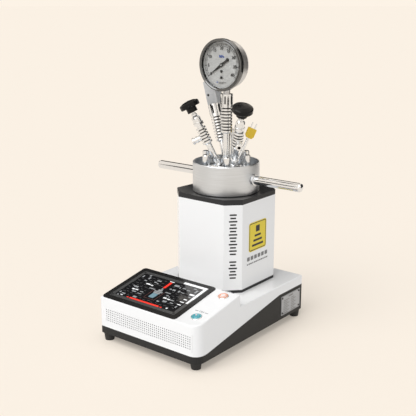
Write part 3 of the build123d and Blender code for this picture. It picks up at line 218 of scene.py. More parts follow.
def turned(name, outline, sides=48):
    """Turned piece about Z, spun from the (radius, height) points of its outline."""
    radius, height = outline[0]
    obj = start_point(name, (radius, 0.0, height))
    for next_radius, next_height in outline[1:]:
        step = (next_radius - radius, 0.0, next_height - height)
        bpy.ops.mesh.extrude_region_move(TRANSFORM_OT_translate={"value": step})
        radius, height = next_radius, next_height
    bpy.ops.mesh.select_all(action="SELECT")
    bpy.ops.mesh.spin(steps=sides, angle=2 * math.pi, center=(0, 0, 0), axis=(0, 0, 1))
    bpy.ops.mesh.select_all(action="SELECT")
    bpy.ops.mesh.remove_doubles(threshold=1e-6)
    bpy.ops.mesh.normals_make_consistent(inside=False)
    bpy.ops.object.mode_set(mode="OBJECT")
    bpy.ops.object.shade_smooth_by_angle(angle=SMOOTH_BELOW)
    return obj


def mm(outline):
    """Outline points from millimetres to metres."""
    return [(r * MM, z * MM) for r, z in outline]


def lettering(name, text, height, bold=0.0):
    """Plain lettering as a mesh, its middle on the origin, standing on z = 0."""
    clear_selection()
    bpy.ops.object.text_add()
    obj = bpy.context.object
    obj.name = obj.data.name = name
    obj.data.body = text
    obj.data.size = height / CAPITAL_SHARE
    obj.data.align_x = "CENTER"
    obj.data.align_y = "CENTER"
    obj.data.extrude = INK / 2
    obj.data.offset = bold
    obj.data.resolution_u = 4
    bpy.ops.object.convert(target="MESH")
    obj = bpy.context.object
    obj.name = obj.data.name = name
    return settle(obj, Matrix.Translation((0, 0, INK / 2)))


def copies(master, places):
    """Copies of master's mesh at each place; master itself is removed."""
    made = []
    for i, place in enumerate(places):
        obj = bpy.data.objects.new(f"{master.name}_{i}", master.data.copy())
        bpy.context.scene.collection.objects.link(obj)
        made.append(settle(obj, place))
    bpy.data.objects.remove(master)
    return made


def joined(name, pieces):
    """One object made of several."""
    clear_selection()
    for obj in pieces:
        obj.select_set(True)
    bpy.context.view_layer.objects.active = pieces[0]
    if len(pieces) > 1:
        bpy.ops.object.join()
    obj = bpy.context.object
    obj.name = obj.data.name = name
    return obj


def finish_piece(obj, body, finish):
    """Give a new piece its finish and the body it rides on."""
    obj.data.materials.clear()
    obj.data.materials.append(material(finish))
    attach(obj, body)
    return obj


def printed(name, face, blocks, finish, body="base", extra=()):
    """One printed piece on a face: its extras and blocks of x, y, width, height and corner.

    The blocks are in millimetres, with x and y at their middles.
    """
    bars = [settle(plate(f"{name}_{i}", w * MM, h * MM, corner=corner * MM),
                   face @ at(x * MM, y * MM))
            for i, (x, y, w, h, corner) in enumerate(blocks)]
    return finish_piece(joined(name, [*extra, *bars]), body, finish)


# ================================================================ places, read from the frame
def axes(origin, right, up):
    """Matrix of a face: X to the right, Y up, Z out of it."""
    x, y = Vector(right).normalized(), Vector(up).normalized()
    place = Matrix((x, y, x.cross(y))).transposed().to_4x4()
    place.translation = Vector(origin)
    return place


def at(x, y, z=0.0, turn=0.0):
    """Shift in a face's plane, then a turn about its normal."""
    return Matrix.Translation((x, y, z)) @ Matrix.Rotation(turn, 4, "Z")


def vertices(node):
    """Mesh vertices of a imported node."""
    return frame["nodes"][node].data.vertices


def joint(name):
    """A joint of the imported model, by name."""
    return next(j for j in frame["joints"] if j["name"] == name)


def screen_face():
    """Frame on the touch glass, at its front left corner, with its width and length."""
    low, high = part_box("touch_glass")
    normal = -Vector(joint("start_press")["axis"]).normalized()
    s, c = -normal.y, normal.z
    rise, run = high.z - low.z, high.y - low.y
    spread = c * c - s * s
    thick = (rise * c - run * s) / spread
    depth = (run * c - rise * s) / spread
    corner = (low.x, low.y, low.z + thick * c)
    return axes(corner, (1, 0, 0), (0, c, s)), high.x - low.x, depth


def button_face(which):
    """Frame on top of a button's cap, at rest."""
    low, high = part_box(which + "_button_cap")
    normal = -Vector(joint(which + "_press")["axis"]).normalized()
    middle = (low + high) / 2
    half = max(Vector((0, v.co.y - middle.y, v.co.z - middle.z)).dot(normal)
               for v in vertices(which + "_button_cap"))
    return axes(middle + normal * half, (1, 0, 0), (0, normal.z, -normal.y))


def dial_face():
    """Frame on the dial's face, at the pointer's axis, seen from the front."""
    pivot = Vector(joint("pointer_swing")["pos_m"])
    back = max(v.co.y for v in vertices("gauge_pointer"))
    ys = sorted({round(v.co.y, 6) for v in vertices("gauge_dial")})
    face = min(y for y in ys if y > back)
    return axes((pivot.x, face, pivot.z), (1, 0, 0), (0, 0, 1))


def furnace_face():
    """Frame on the furnace's right face, at mid depth and deck height."""
    low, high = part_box("furnace_shell")
    return axes((high.x, (low.y + high.y) / 2, low.z), (0, 1, 0), (0, 0, 1))


def furnace_chamfer():
    """Frame on the furnace's front right chamfer, at its middle and deck height."""
    low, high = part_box("furnace_shell")
    points = [v.co for v in vertices("furnace_shell")]
    flat = min(p.y for p in points if p.x > high.x - NEAR)
    side = max(p.x for p in points if p.y < low.y + NEAR)
    middle = ((high.x + side) / 2, (flat + low.y) / 2, low.z)
    return axes(middle, (1, 1, 0), (0, 0, 1))


def plate_face():
    """Frame at the middle of the name plate, with its length and height."""
    low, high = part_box("name_plate")
    middle = (high.x, (low.y + high.y) / 2, (low.z + high.z) / 2)
    return axes(middle, (0, 1, 0), (0, 0, 1)), high.y - low.y, high.z - low.z


def valve_axis(side):
    """Frame of a valve: Z along its needle, with its origin at the knob joint's place."""
    knob = joint(side + "_knob_turn")
    z = Vector(knob["axis"]).normalized()
    x = Vector((z.x, z.y, 0)).normalized()
    x = (x - z * x.dot(z)).normalized()
    return axes(knob["pos_m"], x, z.cross(x))


VALVE_NECK, VALVE_FIN_STACK, STEM_FIN_STACK = 5.0 * MM, 28.8 * MM, 46.1 * MM
SENSOR_TOWARDS, SENSOR_LEAN = math.radians(168), math.radians(19.5)


def extent(node, place):
    """Lowest and highest corners of a node's box in a frame."""
    inverse = place.inverted()
    points = [inverse @ v.co for v in vertices(node)]
    return (Vector([min(p[i] for p in points) for i in range(3)]),
            Vector([max(p[i] for p in points) for i in range(3)]))


def sensor_turn():
    """Turn of the sensor's stem and block: leaning, its block square to the base."""
    towards = Matrix.Rotation(SENSOR_TOWARDS, 4, "Z")
    return towards @ Matrix.Rotation(SENSOR_LEAN, 4, "Y") @ towards.inverted()


def sleeve_axis(sleeve, turn):
    """Frame at the foot of a sleeve, with Z along its axis."""
    low, high = extent(sleeve, turn)
    return turn @ Matrix.Translation(((low.x + high.x) / 2, (low.y + high.y) / 2, low.z))


# ================================================================ shader groups
BROAD_SHARE = 0.03      # scale of the broad noise, as a share of the fine one


def add_node(tree, kind, inputs, **settings):
    """New node with its settings, each input linked to a socket or set to a value."""
    node = tree.nodes.new("ShaderNode" + kind)
    for name, value in settings.items():
        setattr(node, name, value)
    for name, value in inputs.items():
        if isinstance(value, bpy.types.NodeSocket):
            tree.links.new(value, node.inputs[name])
        else:
            node.inputs[name].default_value = value
    return node


def maths(tree, operation, first, second):
    """Result of a Math node on two sockets or numbers."""
    return add_node(tree, "Math", {0: first, 1: second}, operation=operation).outputs[0]


def new_group(name, inputs, outputs):
    """Empty shader group with named sockets; its inner sockets on both sides."""
    group = bpy.data.node_groups.new(name, "ShaderNodeTree")
    for label, kind, value in inputs:
        socket = group.interface.new_socket(
            name=label, in_out="INPUT", socket_type="NodeSocket" + kind)
        if value is not None:
            socket.default_value = value
    for label, kind in outputs:
        group.interface.new_socket(
            name=label, in_out="OUTPUT", socket_type="NodeSocket" + kind)
    inlet, outlet = group.nodes.new("NodeGroupInput"), group.nodes.new("NodeGroupOutput")
    return group, inlet.outputs, outlet.inputs


def grain_group():
    """Fine even grain: a height for bump and a mask for roughness."""
    group, inlet, outlet = new_group(
        "fine_grain",
        [("Vector", "Vector", None), ("Scale", "Float", 900.0), ("Detail", "Float", 3.0)],
        [("Height", "Float"), ("Mask", "Float")])
    same = {name: inlet[name] for name in ("Vector", "Scale", "Detail")}
    fine = add_node(group, "TexNoise", same)
    coarse = maths(group, "MULTIPLY", inlet["Scale"], BROAD_SHARE)
    broad = add_node(group, "TexNoise", {"Vector": inlet["Vector"], "Scale": coarse})
    group.links.new(fine.outputs["Fac"], outlet["Height"])
    group.links.new(broad.outputs["Fac"], outlet["Mask"])
    return group


def tooling_group():
    """Fine lines left by a lathe or a brush: noise drawn out across the lines."""
    group, inlet, outlet = new_group(
        "tooling_lines",
        [("Vector", "Vector", None), ("Scale", "Float", 500.0), ("Stretch", "Float", 0.02)],
        [("Height", "Float"), ("Mask", "Float")])
    split = add_node(group, "SeparateXYZ", {0: inlet["Vector"]}).outputs
    drawn = {axis: maths(group, "MULTIPLY", split[axis], inlet["Stretch"]) for axis in ("X", "Y")}
    pack = add_node(group, "CombineXYZ", {**drawn, "Z": split["Z"]})
    lines = add_node(
        group, "TexNoise", {"Detail": 4.0, "Vector": pack.outputs[0], "Scale": inlet["Scale"]})
    sharpen = add_node(
        group, "MapRange", {"From Min": 0.35, "From Max": 0.65, "Value": lines.outputs["Fac"]})
    group.links.new(lines.outputs["Fac"], outlet["Height"])
    group.links.new(sharpen.outputs["Result"], outlet["Mask"])
    return group


def tones_group():
    """Two tones of one colour, mixed by a mask."""
    group, inlet, outlet = new_group(
        "two_tones",
        [("Mask", "Float", 0.5), ("Colour", "Color", (0.8, 0.8, 0.8, 1.0)),
         ("Depth", "Float", 0.1)],
        [("Colour", "Color")])
    darker = maths(group, "SUBTRACT", 1.0, inlet["Depth"])
    scale = add_node(group, "VectorMath", {0: inlet["Colour"]}, operation="SCALE")
    group.links.new(darker, scale.inputs["Scale"])
    mix = add_node(
        group, "Mix",
        {"Factor": inlet["Mask"], "A": scale.outputs["Vector"], "B": inlet["Colour"]},
        data_type="RGBA")
    group.links.new(mix.outputs["Result"], outlet["Colour"])
    return group


def roots_group():
    """Mask of painted shade on a finned stem about the vector's Z: dark at the blades' roots, bright at the rims.
    """
    group, inlet, outlet = new_group(
        "blade_roots",
        [("Vector", "Vector", None), ("Inner", "Float", 0.0064), ("Outer", "Float", 0.0094),
         ("Low", "Float", 0.0), ("High", "Float", 0.0)],
        [("Mask", "Float")])
    split = add_node(group, "SeparateXYZ", {0: inlet["Vector"]}).outputs
    flat = add_node(group, "CombineXYZ", {"X": split["X"], "Y": split["Y"]})
    reach = add_node(group, "VectorMath", {0: flat.outputs[0]}, operation="LENGTH")
    ramp = add_node(
        group, "MapRange",
        {"Value": reach.outputs["Value"], "From Min": inlet["Inner"], "From Max": inlet["Outer"]})
    below = maths(group, "LESS_THAN", split["Z"], inlet["Low"])
    above = maths(group, "GREATER_THAN", split["Z"], inlet["High"])
    outside = maths(group, "MAXIMUM", below, above)
    group.links.new(maths(group, "MAXIMUM", outside, ramp.outputs["Result"]), outlet["Mask"])
    return group


GROUPS = {}


def build_groups():
    """Every shared shader group, built once."""
    GROUPS.update(
        grain=grain_group(), tooling=tooling_group(), tones=tones_group(), roots=roots_group())


# ================================================================ materials
COAT_ROUGHNESS, SMOOTHEST = 0.06, 0.02
SIDEWAYS = (0, math.radians(90), 0)
FORWARDS = (math.radians(90), 0, 0)
METAL = dict(metallic=1.0, pattern="tooling")
FITTING_STEEL = dict(roughness=0.20, scale=1500, relief=0.004, depth=0.08, **METAL)
VALVE_ROOT_SHADE, STEM_ROOT_SHADE = 0.16, 0.05      # painted shade: grey between the blades of the valves and the stems


def object_mapping(tree, **settings):
    """Object coordinates through a Mapping node with the given Rotation and Location."""
    inputs = {name.capitalize(): value for name, value in settings.items()}
    inputs["Vector"] = add_node(tree, "TexCoord", {}).outputs["Object"]
    return add_node(tree, "Mapping", inputs).outputs["Vector"]


def surface(name, base, roughness, metallic=0.0, coat=0.0, pattern="grain", scale=900.0,
            relief=0.02, depth=0.06, spread=0.06, turn=(0, 0, 0), glow=None, specular=0.5):
    """Principled material whose colour, roughness and bump follow one pattern.

    relief is the bump's depth in millimetres, depth the darkening of the colour, spread the
    swing of the roughness. turn brings the pattern's Z onto the piece's axis.
    """
    material = bpy.data.materials.new(name)
    material.use_nodes = True
    tree = material.node_tree
    shader, link = tree.nodes["Principled BSDF"], tree.links.new
    for socket, value in (("Metallic", metallic), ("Coat Weight", coat),
                          ("Coat Roughness", COAT_ROUGHNESS), ("Specular IOR Level", specular)):
        shader.inputs[socket].default_value = value
    texture = add_node(
        tree, "Group", {"Scale": scale, "Vector": object_mapping(tree, rotation=turn)},
        node_tree=GROUPS[pattern]).outputs
    tones = add_node(
        tree, "Group", {"Colour": (*base, 1.0), "Depth": depth, "Mask": texture["Mask"]},
        node_tree=GROUPS["tones"]).outputs["Colour"]
    swing = add_node(
        tree, "MapRange",
        {"To Min": max(SMOOTHEST, roughness - spread), "To Max": roughness + spread,
         "Value": texture["Mask"]})
    bump = add_node(
        tree, "Bump", {"Strength": 1.0, "Distance": relief * MM, "Height": texture["Height"]})
    link(tones, shader.inputs["Base Color"])
    link(swing.outputs["Result"], shader.inputs["Roughness"])
    link(bump.outputs["Normal"], shader.inputs["Normal"])
    if glow:
        link(tones, shader.inputs["Emission Color"])
        shader.inputs["Emission Strength"].default_value = glow
    return material


def clear_glass():
    """Thin clear glass of the gauge, with the least trace of grain."""
    material = surface("clear_glass", (0.97, 0.98, 0.98), 0.03,
                       scale=60.0, relief=0.0005, depth=0.01, spread=0.01)
    shader = material.node_tree.nodes["Principled BSDF"]
    shader.inputs["Transmission Weight"].default_value = 1.0
    shader.inputs["IOR"].default_value = 1.2
    return material


def finned_steel(name, base, place, low, high, root):
    """Machined steel of a finned stem, with painted shade between its blades, about the Z of a frame."""
    material = surface(name, base, **FITTING_STEEL)
    tree = material.node_tree
    tint = tree.nodes["Principled BSDF"].inputs["Base Color"]
    inverse = place.inverted()
    where = object_mapping(tree, rotation=inverse.to_euler(), location=inverse.translation)
    roots = add_node(
        tree, "Group", {"Low": low, "High": high, "Vector": where}, node_tree=GROUPS["roots"])
    mix = add_node(
        tree, "Mix",
        {"A": (root, root, root, 1.0), "Factor": roots.outputs["Mask"],
         "B": tint.links[0].from_socket},
        data_type="RGBA")
    tree.links.new(mix.outputs["Result"], tint)
    return material


def finned_steels(base):
    """One finned steel for each finned node, on that node's own axis."""
    made = {}
    for side in ("left", "right"):
        axis = valve_axis(side)
        foot = extent(side + "_valve_bonnet", axis)[0].z
        top = foot - VALVE_NECK
        made[side + "_valve_body"] = finned_steel(
            side + "_valve_fins", base, axis, top - VALVE_FIN_STACK, top, VALVE_ROOT_SHADE)
    for stem, sleeve, turn in (("gauge_stem", "gauge_sleeve", Matrix.Identity(4)),
                               ("sensor_stem", "sensor_sleeve", sensor_turn())):
        place = sleeve_axis(sleeve, turn)
        made[stem] = finned_steel(stem + "_fins", base, place, -STEM_FIN_STACK, 0.0, STEM_ROOT_SHADE)
    return made


def finish_table(c):
    """Settings of every plain finish, by name."""
    return {
        "housing_gloss": dict(base=c.housing, roughness=0.22, coat=0.35, scale=260, relief=0.004,
                              depth=0.02),
        "tray_moulded": dict(base=c.tray, roughness=0.46, scale=1500, relief=0.03, depth=0.25,
                             specular=0.25),
        "rubber_matt": dict(base=(0.02, 0.02, 0.02), roughness=0.62, scale=1800, relief=0.03,
                            depth=0.3),
        "plate_enamel": dict(base=c.top_plate, roughness=0.30, scale=420, relief=0.006, depth=0.15,
                             specular=0.18),
        "bezel_gloss": dict(base=c.bezel, roughness=0.26, scale=500, relief=0.004, depth=0.2,
                            specular=0.30),
        "glass_black": dict(base=c.page, roughness=0.10, coat=0.6, scale=120, relief=0.001,
                            depth=0.1, spread=0.03),
        "ring_turned": dict(base=c.ring, roughness=0.34, scale=900, relief=0.006, depth=0.10,
                            **METAL),
        "steel_polished": dict(base=c.polished, roughness=0.09, scale=700, relief=0.001, depth=0.04,
                               spread=0.03, **METAL),
        "handle_polished": dict(base=c.polished, roughness=0.09, scale=700, relief=0.001,
                                depth=0.04, spread=0.03, turn=SIDEWAYS, **METAL),
        "steel_machined": dict(base=c.fittings, **FITTING_STEEL),
        "steel_plain": dict(base=(0.45, 0.45, 0.45), roughness=0.34, scale=900, relief=0.008,
                            depth=0.15, **METAL),
        "aluminium_milled": dict(base=(0.62, 0.63, 0.64), roughness=0.36, scale=700, relief=0.01,
                                 **METAL),
        "sensor_satin": dict(base=c.sensor, roughness=0.40, metallic=0.35, scale=1600, relief=0.01,
                             depth=0.08),
        "knob_gloss": dict(base=c.knob, roughness=0.24, scale=700, relief=0.006, depth=0.25,
                           specular=0.22),
        "plug_moulded": dict(base=c.plug, roughness=0.40, scale=1900, relief=0.02, depth=0.12),
        # Dial set darker than its enamel: painted shade from the glass and rim.
        "dial_enamel": dict(base=c.dial, roughness=0.45, scale=2400, relief=0.006, depth=0.14),
        "ink_black": dict(base=c.ink, roughness=0.40, scale=2500, relief=0.004, depth=0.2),
        "ink_grey": dict(base=c.grey_ink, roughness=0.5, scale=2500, relief=0.004, depth=0.15),
        "screen_grey": dict(base=c.surround, roughness=0.22, coat=0.5, scale=140, relief=0.001,
                            depth=0.45),
        "light_white": dict(base=(0.85, 0.86, 0.87), roughness=0.3, scale=900, relief=0.001,
                            glow=0.25),
        "light_grey": dict(base=(0.30, 0.31, 0.32), roughness=0.3, scale=900, relief=0.001,
                           glow=0.15),
        "light_dim": dict(base=(0.11, 0.11, 0.115), roughness=0.3, scale=900, relief=0.001),
        "light_dull_red": dict(base=(0.09, 0.03, 0.028), roughness=0.3, scale=900, relief=0.001),
        # Pink glowing dot: painted highlight on the start cap.
        "light_pink": dict(base=(0.80, 0.60, 0.60), roughness=0.3, scale=900, relief=0.002,
                           glow=0.15),
        "ink_blue": dict(base=(0.04, 0.10, 0.42), roughness=0.4, scale=2500, relief=0.004,
                         depth=0.2),
        "ink_soft": dict(base=(0.20, 0.20, 0.20), roughness=0.5, scale=2500, relief=0.004,
                         depth=0.15),
        # Rim steel set dark: painted dark reflection.
        "rim_polished": dict(base=c.rim, roughness=0.13, scale=700, relief=0.002, depth=0.05,
                             spread=0.04, **METAL),
        "case_satin": dict(base=(0.66, 0.67, 0.69), roughness=0.40, scale=900, relief=0.003,
                           depth=0.06, turn=FORWARDS, **METAL),
        "light_red": dict(base=c.red, roughness=0.3, scale=900, relief=0.001, glow=0.35),
        "light_blue": dict(base=(0.20, 0.34, 0.41), roughness=0.3, scale=300, relief=0.001,
                           depth=0.4, glow=0.15),
        "cap_teal": dict(base=c.teal, roughness=0.18, coat=0.8, scale=180, relief=0.002,
                         depth=0.35),
        "cap_white": dict(base=(0.86, 0.84, 0.82), roughness=0.22, coat=0.6, scale=300,
                          relief=0.003, depth=0.04),
        "ring_light_orange": dict(base=(0.84, 0.36, 0.21), roughness=0.22, coat=0.5, scale=300,
                                  relief=0.003, depth=0.15),
        "ring_light_teal": dict(base=(0.16, 0.52, 0.58), roughness=0.22, coat=0.5, scale=300,
                                relief=0.003, depth=0.3),
        # Black laid into bores, slots and a hole: painted shade.
        "hollow_black": dict(base=(0.006, 0.006, 0.006), roughness=0.6, scale=900, relief=0.01,
                             depth=0.3, specular=0.2),
        "light_orange": dict(base=c.orange, roughness=0.3, scale=700, relief=0.002, glow=0.25),
        "panel_yellow": dict(base=c.panel, roughness=0.34, coat=0.2, scale=900, relief=0.003,
                             depth=0.06),
        "plate_brushed": dict(base=c.plate, roughness=0.36, scale=1300, relief=0.004, depth=0.12,
                              **METAL),
        "fibre_board": dict(base=(0.72, 0.70, 0.64), roughness=0.9, scale=800, relief=0.3,
                            depth=0.2),
        "seal_white": dict(base=(0.82, 0.82, 0.80), roughness=0.45, scale=900, relief=0.01),
        "module_black": dict(base=(0.022, 0.022, 0.022), roughness=0.42, scale=1700, relief=0.02,
                             depth=0.2),
        "motor_painted": dict(base=(0.16, 0.17, 0.18), roughness=0.45, scale=900, relief=0.02,
                              depth=0.1),
        "board_green": dict(base=(0.02, 0.16, 0.07), roughness=0.4, scale=500, relief=0.01,
                            depth=0.3),
    }


def build_materials(c):
    """Every finish, by name."""
    made = {name: surface(name, **settings) for name, settings in finish_table(c).items()}
    made["clear_glass"] = clear_glass()
    return made


NODE_FINISH = {
    "housing_gloss": ["console_cover", "front_grille", "furnace_shell"],
    "tray_moulded": ["base_tray"],
    "rubber_matt": ["feet", "gauge_vent_plug"],
    "plate_enamel": ["furnace_base_plate", "furnace_top_plate"],
    "bezel_gloss": ["screen_bezel"],
    "glass_black": ["touch_glass"],
    "ring_turned": ["lock_ring"],
    "handle_polished": ["handle_left", "handle_right"],
    "ring_light_orange": ["stop_button_ring"],
    "ring_light_teal": ["start_button_ring"],
    "rim_polished": ["gauge_bezel"],
    "case_satin": ["gauge_case"],
    "steel_machined": [
        "reactor_head", "head_bolts", "gauge_sleeve", "sensor_sleeve",
        "left_valve_bonnet", "left_valve_needle", "right_valve_bonnet", "right_valve_needle",
        "thermocouple_probe", "thermocouple_blades", "burst_disc_holder"],
    "steel_plain": ["vessel", "retaining_clip", "cartridge_heaters"],
    "aluminium_milled": ["heater_block", "motor_bracket"],
    "sensor_satin": ["sensor_housing"],
    "knob_gloss": ["left_valve_knob", "right_valve_knob"],
    "plug_moulded": ["thermocouple_plug"],
    "dial_enamel": ["gauge_dial"],
    "ink_black": ["gauge_pointer"],
    "cap_teal": ["start_button_cap"],
    "cap_white": ["stop_button_cap"],
    "plate_brushed": ["name_plate"],
    "fibre_board": ["insulation"],
    "seal_white": ["vessel_seal", "stir_bar"],
    "module_black": [
        "name_plate_screws", "display_module", "power_inlet", "switch_frame", "power_rocker"],
    "motor_painted": ["stir_motor", "magnet_rotor", "drive_magnets", "power_supply"],
    "board_green": ["control_board"],
    "clear_glass": ["gauge_window"],
}


class REACTOR_OT_finishes(bpy.types.Operator):
    """Give every carried-over node its finish"""

    bl_idname = "reactor.finishes"
    bl_label = "Finishes"

    def execute(self, context):
        build_groups()
        colours = context.scene.reactor_colours
        materials = build_materials(colours)
        left = set(frame["nodes"])
        pairs = [(node, materials[name]) for name, nodes in NODE_FINISH.items() for node in nodes]
        pairs += finned_steels(colours.fittings).items()
        for node, finish in pairs:
            mesh = frame["nodes"][node].data
            mesh.materials.clear()
            mesh.materials.append(finish)
            left.discard(node)
        if left:
            raise RuntimeError(f"nodes without a finish: {sorted(left)}")
        return {"FINISHED"}


def material(name):
    """A finish that the Finishes operator has made."""
    found = bpy.data.materials.get(name)
    if found is None:
        raise RuntimeError(f"the finish {name} isn't made yet: run Finishes first")
    return found


# ================================================================ gauge
DIAL_ZERO = math.radians(215)
RIM_SECTION = (
    # radius and depth from the front, in millimetres
    (44.0, 2.2), (41.9, 2.2),                                               # seat
    (41.9, 1.35), (42.1, 0.95), (42.5, 0.75), (42.9, 0.95), (43.2, 1.3),    # inner bead
    (43.7, 1.35), (44.3, 1.0), (45.0, 0.5), (45.7, 0.12), (46.2, 0.0),      # groove, outer bead
    (46.75, 0.15), (47.2, 0.6), (47.45, 1.25), (47.5, 2.1),
    (47.5, 3.1), (47.2, 3.3), (47.2, 3.8), (47.5, 4.0),                     # side groove
    (47.5, 9.2), (47.3, 9.8), (46.9, 10.15), (41.0, 10.15), (41.0, 8.4),
    (44.0, 8.4), (44.0, 2.2),
)
FINE_TICKS = 10                         # ticks from one number to the next
TICK_SIZES = ((1.0, 1.1), (0.75, 0.8), (0.5, 0.5))      # share of the tick, width in millimetres
ARC_WIDTH = 0.45 * MM
DIAL_RULES = ((2.0, -31.4, 17.0, 1.5, 0.0), (0.0, -33.6, 12.0, 0.7, 0.0))
DIAL_BLOCK = (-9.4, -31.4, 3.0, 2.0, 0.4)
DIAL_SCREW = ((0, 0), (2.7, 0), (2.7, 0.3), (2.2, 0.62), (1.2, 0.85), (0, 0.9))
DIAL_SCREW_DROPS = (11.6 * MM, 22.8 * MM)


class REACTOR_OT_gauge(bpy.types.Operator):
    """Turn the gauge's rim, with its beads and groove, in place of the plain ring"""

    bl_idname = "reactor.gauge"
    bl_label = "Gauge rim"

    def execute(self, context):
        pivot = Vector(joint("pointer_swing")["pos_m"])
        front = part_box("gauge_bezel")[0].y
        rim = turned("gauge_rim", mm([(r, -depth) for r, depth in RIM_SECTION]), 120)
        settle(rim, axes((pivot.x, front, pivot.z), (1, 0, 0), (0, 0, 1)))
        finish_piece(rim, "head", "rim_polished")
        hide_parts("gauge_bezel")
        frame["nodes"]["gauge_window"].visible_shadow = False
        return {"FINISHED"}


class REACTOR_OT_dial(bpy.types.Operator):
    """Print the gauge's scale: ticks, numbers, its arc and the dial's two screws"""

    bl_idname = "reactor.dial"
    bl_label = "Gauge dial"

    def execute(self, context):
        marks = context.scene.reactor_marks
        face = dial_face() @ at(0, 0, LIFT)
        count = marks.steps * FINE_TICKS
        ticks = []
        for i in range(count + 1):
            angle = DIAL_ZERO - marks.sweep * i / count
            kind = 0 if i % FINE_TICKS == 0 else 1 if i % (FINE_TICKS // 2) == 0 else 2
            share, wide = TICK_SIZES[kind]
            bar = plate(f"tick_{i}", marks.tick * share, wide * MM)
            reach = marks.scale_r - marks.tick * share / 2
            spot = at(reach * math.cos(angle), reach * math.sin(angle), 0, angle)
            ticks.append(settle(bar, face @ spot))
        finish_piece(joined("dial_ticks", ticks), "head", "ink_black")
        self.arc(marks, face)
        numerals = []
        for i in range(marks.steps + 1):
            angle = DIAL_ZERO - marks.sweep * i / marks.steps
            reach = marks.scale_r - marks.tick - marks.numeral * 0.80
            text = lettering(f"numeral_{i}", str(5 * i), marks.numeral, bold=0.20 * MM)
            spot = at(reach * math.cos(angle), reach * math.sin(angle))
            numerals.append(settle(text, face @ spot))
        finish_piece(joined("dial_numbers", numerals), "head", "ink_black")
        unit = settle(lettering("dial_unit", "MPa", 4.8 * MM, bold=0.15 * MM),
                      face @ at(0, 15.0 * MM))
        finish_piece(unit, "head", "ink_blue")
        printed("dial_rules", face, DIAL_RULES, "ink_soft", body="head")
        printed("dial_block", face, [DIAL_BLOCK], "ink_blue", body="head")
        self.screws(face)
        return {"FINISHED"}

    def arc(self, marks, face):
        """Thin arc along the ticks' feet, opened over the part that the scale leaves free."""
        r = marks.scale_r - marks.tick - 0.2 * MM
        start = Vector((r * math.cos(DIAL_ZERO), r * math.sin(DIAL_ZERO), 0))
        band = start_point("dial_arc", start)
        across = start.normalized() * ARC_WIDTH
        bpy.ops.mesh.extrude_region_move(TRANSFORM_OT_translate={"value": across})
        bpy.ops.mesh.select_all(action="SELECT")
        bpy.ops.mesh.spin(steps=96, angle=marks.sweep, center=(0, 0, 0), axis=(0, 0, 1))
        bpy.ops.mesh.select_all(action="SELECT")
        thicken(INK)
        settle(band, face)
        finish_piece(band, "head", "ink_black")

    def screws(self, face):
        """Two dark domed screws under the pointer's axis."""
        head = turned("dial_screw", mm(DIAL_SCREW), 24)
        pair = copies(head, [face @ at(0, -drop, 0.5 * MM) for drop in DIAL_SCREW_DROPS])
        finish_piece(joined("dial_screws", pair), "head", "ink_black")


# ================================================================ valves and sensor
# Outlines as (radius, height) in millimetres.
GLAND = ((3.3, 0), (5.6, 0), (5.6, 2.4), (5.2, 2.9), (4.5, 3.1), (4.5, 4.4), (4.1, 4.8),
         (3.3, 4.8), (3.3, 0))
FOOT_RING = ((8.6, 0), (9.5, 0.3), (9.7, 1.0), (9.5, 1.7), (8.6, 2.0), (8.6, 0))
# The next two outlines are dark sheets: painted shade down the outlets' bores and in the sleeves' slots.
BORE_SHADE_LINER = ((2.7, 0), (2.95, 0), (2.95, 9.0), (0, 9.0), (0, 8.7), (2.7, 8.7), (2.7, 0))
SLOT_SHADE_LINING = ((8.9, 0.6), (9.4, 0.6), (9.4, 18.8), (8.9, 18.8), (8.9, 0.6))
# Dark piece in the sensor's block, painted shade for its hole: a domed head on the face and a core down the hole.
SENSOR_HOLE_SHADE = ((0, -0.8), (1.5, -0.7), (2.2, -0.35), (2.3, -0.05), (1.7, -0.05), (1.7, 4.2),
                (0, 4.2))
HOLE_SIDE, HOLE_RISE = 6.5 * MM, 0.4    # hole from the block's left edge; share of its height
RING_RISE = 4.3 * MM                    # foot ring above the bonnet's foot
SOCKET_REACH, SOCKET_INSET = 6.0 * MM, 0.3 * MM         # half a socket; the painted shade liner behind its mouth


